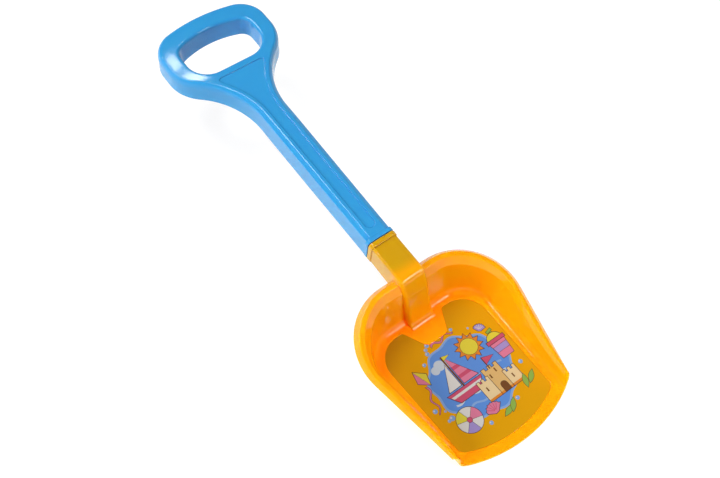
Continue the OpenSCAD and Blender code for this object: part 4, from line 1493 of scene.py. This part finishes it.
@dataclass
class Studio:
    """White table, soft lights and the camera."""

    lens: float = 43.895
    eye: Point3 = LAYOUT.scoop_to_row((272.58, -262.45, 688.51))
    right: Point3 = (0.593174, 0.805074, -0.000417)
    up: Point3 = (-0.671619, 0.495131, 0.551157)
    table_size: float = 6.0
    sky: float = 0.16
    overhead: float = 0.3
    pure: tuple[float, float, float, float] = (1.0, 1.0, 1.0, 1.0)
    key_power: float = 17.5
    side_power: float = 25.0
    fill_power: float = 3.2
    edge_power: float = 4.0
    pane_power: float = 0.2
    pane_roll: float = 36.5
    paper: str = "#D8D8D8"
    white: float = 0.80
    white_from: Point2 = (0.4, 1.2)
    shadow: float = 0.28
    panel_glow: float = 2.2
    panel_box: tuple[float, float, float, float] = (85.0, -130.0, 290.0, 130.0)

    def camera(self) -> None:
        """Puts the camera where the photo was taken from."""
        data = bpy.data.cameras.new("camera")
        data.sensor_width, data.sensor_fit, data.lens = 36.0, "HORIZONTAL", self.lens
        data.clip_start, data.clip_end = 0.01, 50.0
        cam = bpy.data.objects.new("camera", data)
        right, up = Vector(self.right).normalized(), Vector(self.up).normalized()
        back = right.cross(up).normalized()
        up = back.cross(right)
        turn = Matrix((right, up, back)).transposed().to_4x4()
        cam.matrix_world = Matrix.Translation(Vector(self.eye) * MM) @ turn
        bpy.context.scene.collection.objects.link(cam)
        bpy.context.scene.camera = cam

    def stage_piece(self, name: str, box: tuple[float, float, float, float], drop: float,
                    bounce: Callable[[Tree], Socket]) -> None:
        """Lays a flat stage piece that looks white and keeps the object's soft shadow.

        Args:
            name: Its name.
            box: Its extent in the row frame in mm (x0, y0, x1, y1).
            drop: How far under the table's level it lies in mm.
            bounce: Makes the shader that lights the object.
        """
        skin = Skin()
        skin.faces.append(tuple(skin.add((x, y, 0) for x, y in rectangle(*box))))
        piece = skin.mesh(name, lambda p: (p[0], p[1], p[2] - drop))
        made, tree = new_material(name)
        rays = add_node(tree, "ShaderNodeLightPath").outputs
        seen = either(tree, rays["Is Camera Ray"], rays["Is Glossy Ray"])
        seen = either(tree, seen, rays["Is Transmission Ray"])
        grey = (self.shadow, self.shadow, self.shadow, 1)
        paper = add_node(tree, "ShaderNodeBsdfDiffuse", {"Color": grey})
        # Far from the object, where the lamps no longer reach, the table stays as white as the room
        place = add_node(tree, "ShaderNodeTexCoord").outputs["Object"]
        away = add_node(tree, "ShaderNodeVectorMath", links={0: place}, operation="LENGTH").outputs["Value"]
        level = map_range(tree, away, self.white_from, (self.white, 1.0))
        white = add_node(tree, "ShaderNodeEmission", {"Color": self.pure}, {"Strength": level})
        lit = add_node(tree, "ShaderNodeAddShader", links={0: paper.outputs[0], 1: white.outputs[0]})
        both = choose(tree, seen, bounce(tree), lit.outputs[0])
        # From below the table is left out, so that the underside can be seen
        under = add_node(tree, "ShaderNodeNewGeometry").outputs["Backfacing"]
        clear = add_node(tree, "ShaderNodeBsdfTransparent")
        final = choose(tree, under, both, clear.outputs[0])
        add_node(tree, "ShaderNodeOutputMaterial", links={"Surface": final})
        piece.data.materials.append(made)

    def table(self) -> None:
        """White table, and the opal light panel let into it that shines through the scoop."""
        half = self.table_size / 2 / MM
        sheet = {"Color": linear(self.paper)}
        glow = {"Color": self.pure, "Strength": self.panel_glow}
        self.stage_piece("white_table", (-half, -half, half, half), 0.05,
                         lambda tree: add_node(tree, "ShaderNodeBsdfDiffuse", sheet).outputs[0])
        self.stage_piece("opal_light_panel", self.panel_box, 0.03,
                         lambda tree: add_node(tree, "ShaderNodeEmission", glow).outputs[0])

    def light(self, name: str, at: Point3, aim: Point3, size: Point2, power: float, roll: float = 0.0,
              mirrored_too: bool = True) -> None:
        """Adds a soft box.

        Args:
            name: Its name.
            at: Its place in metres.
            aim: The point it faces, in metres.
            size: Width and height in metres.
            power: Watts.
            roll: Turn about its own axis in degrees.
            mirrored_too: Whether glossy surfaces mirror it.
        """
        data = bpy.data.lights.new(name, "AREA")
        data.shape, data.size, data.size_y, data.energy = "RECTANGLE", size[0], size[1], power
        lamp = bpy.data.objects.new(name, data)
        lamp.location = at
        lamp.rotation_mode = "QUATERNION"
        turn = (Vector(aim) - Vector(at)).to_track_quat("-Z", "Y")
        lamp.rotation_quaternion = turn @ Quaternion((0, 0, 1), math.radians(roll))
        lamp.visible_glossy = mirrored_too
        bpy.context.scene.collection.objects.link(lamp)

    def build(self) -> None:
        """Sets up everything around the object."""
        scene = bpy.context.scene
        scene.view_settings.view_transform = "Standard"
        world = bpy.data.worlds.new("studio")
        scene.world = world
        world.use_nodes = True
        tree = world.node_tree
        tree.nodes.clear()
        rays = add_node(tree, "ShaderNodeLightPath").outputs
        place = add_node(tree, "ShaderNodeTexCoord").outputs["Generated"]
        rise = add_node(tree, "ShaderNodeSeparateXYZ", links={"Vector": place}).outputs["Z"]
        dim = self.sky * self.overhead
        # The room's light is stronger near the table than overhead
        level = map_range(tree, rise, (0.1, 0.6), (self.sky, dim))
        room = add_node(tree, "ShaderNodeBackground", {"Color": linear("#F4F6FA")}, {"Strength": level})
        # Mirrored, the room is white round the table as the camera sees it, and dark overhead
        level = map_range(tree, rise, (0.1, 0.4), (1.0, dim))
        mirror = add_node(tree, "ShaderNodeBackground", {"Color": self.pure}, {"Strength": level})
        shiny = either(tree, rays["Is Glossy Ray"], rays["Is Transmission Ray"])
        unseen = choose(tree, shiny, room.outputs[0], mirror.outputs[0])
        white = add_node(tree, "ShaderNodeBackground", {"Color": self.pure, "Strength": 1.0})
        both = choose(tree, rays["Is Camera Ray"], unseen, white.outputs[0])
        add_node(tree, "ShaderNodeOutputWorld", links={"Surface": both})
        self.light("key_softbox", (-0.75, -0.35, 1.5), (0.0, 0.0, 0.05), (0.85, 0.7), self.key_power)
        self.light("fill_softbox", (0.62, 0.28, 0.62), (0.17, 0.0, 0.03), (0.3, 0.2), self.fill_power,
                   mirrored_too=False)
        self.light("edge_softbox", (1.0, 0.58, 1.28), (0.1, 0.0, 0.06), (0.36, 0.36), self.edge_power)
        # A small window with two panes, mirrored in the grip's side
        self.light("window_pane_a", (-1.008, 0.315, 1.300), (-0.208, -0.050, 0.086), (0.034, 0.040),
                   self.pane_power / 3, roll=self.pane_roll)
        self.light("window_pane_b", (-0.952, 0.343, 1.312), (-0.184, -0.043, 0.084), (0.084, 0.040),
                   self.pane_power, roll=self.pane_roll)
        self.light("side_softbox", (-0.1, -1.5, 0.75), (0.0, 0.0, 0.05), (1.4, 0.8), self.side_power,
                   mirrored_too=False)
        self.camera()
        self.table()
        log.info("studio ready")


def main() -> None:
    """Builds the shovel, its materials and the studio."""
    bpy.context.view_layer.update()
    orange = MouldedPolypropylene(
        "moulded_polypropylene_orange_yellow", shade="#FDA806", deep="#FDA005", glow=(1.0, 0.8, 0.1),
        scatter=1.0, scatter_mm=3.6, behind="#C99A12", behind_mm=(80.0, 100.0))
    # The blue gets a painted shade, a deeper blue mixed into its recesses by ambient occlusion
    blue = MouldedPolypropylene(
        "moulded_polypropylene_sky_blue", shade="#3495CE", deep="#318FC8", glow=(0.3, 0.6, 1.0),
        scatter=0.35, scatter_mm=2.0, recess="#1450A8")
    Scoop().build(orange.build())
    Handle().build(blue.build())
    Label().build(PrintedFilm().build())
    Studio().build()


if __name__ == "__main__":
    main()
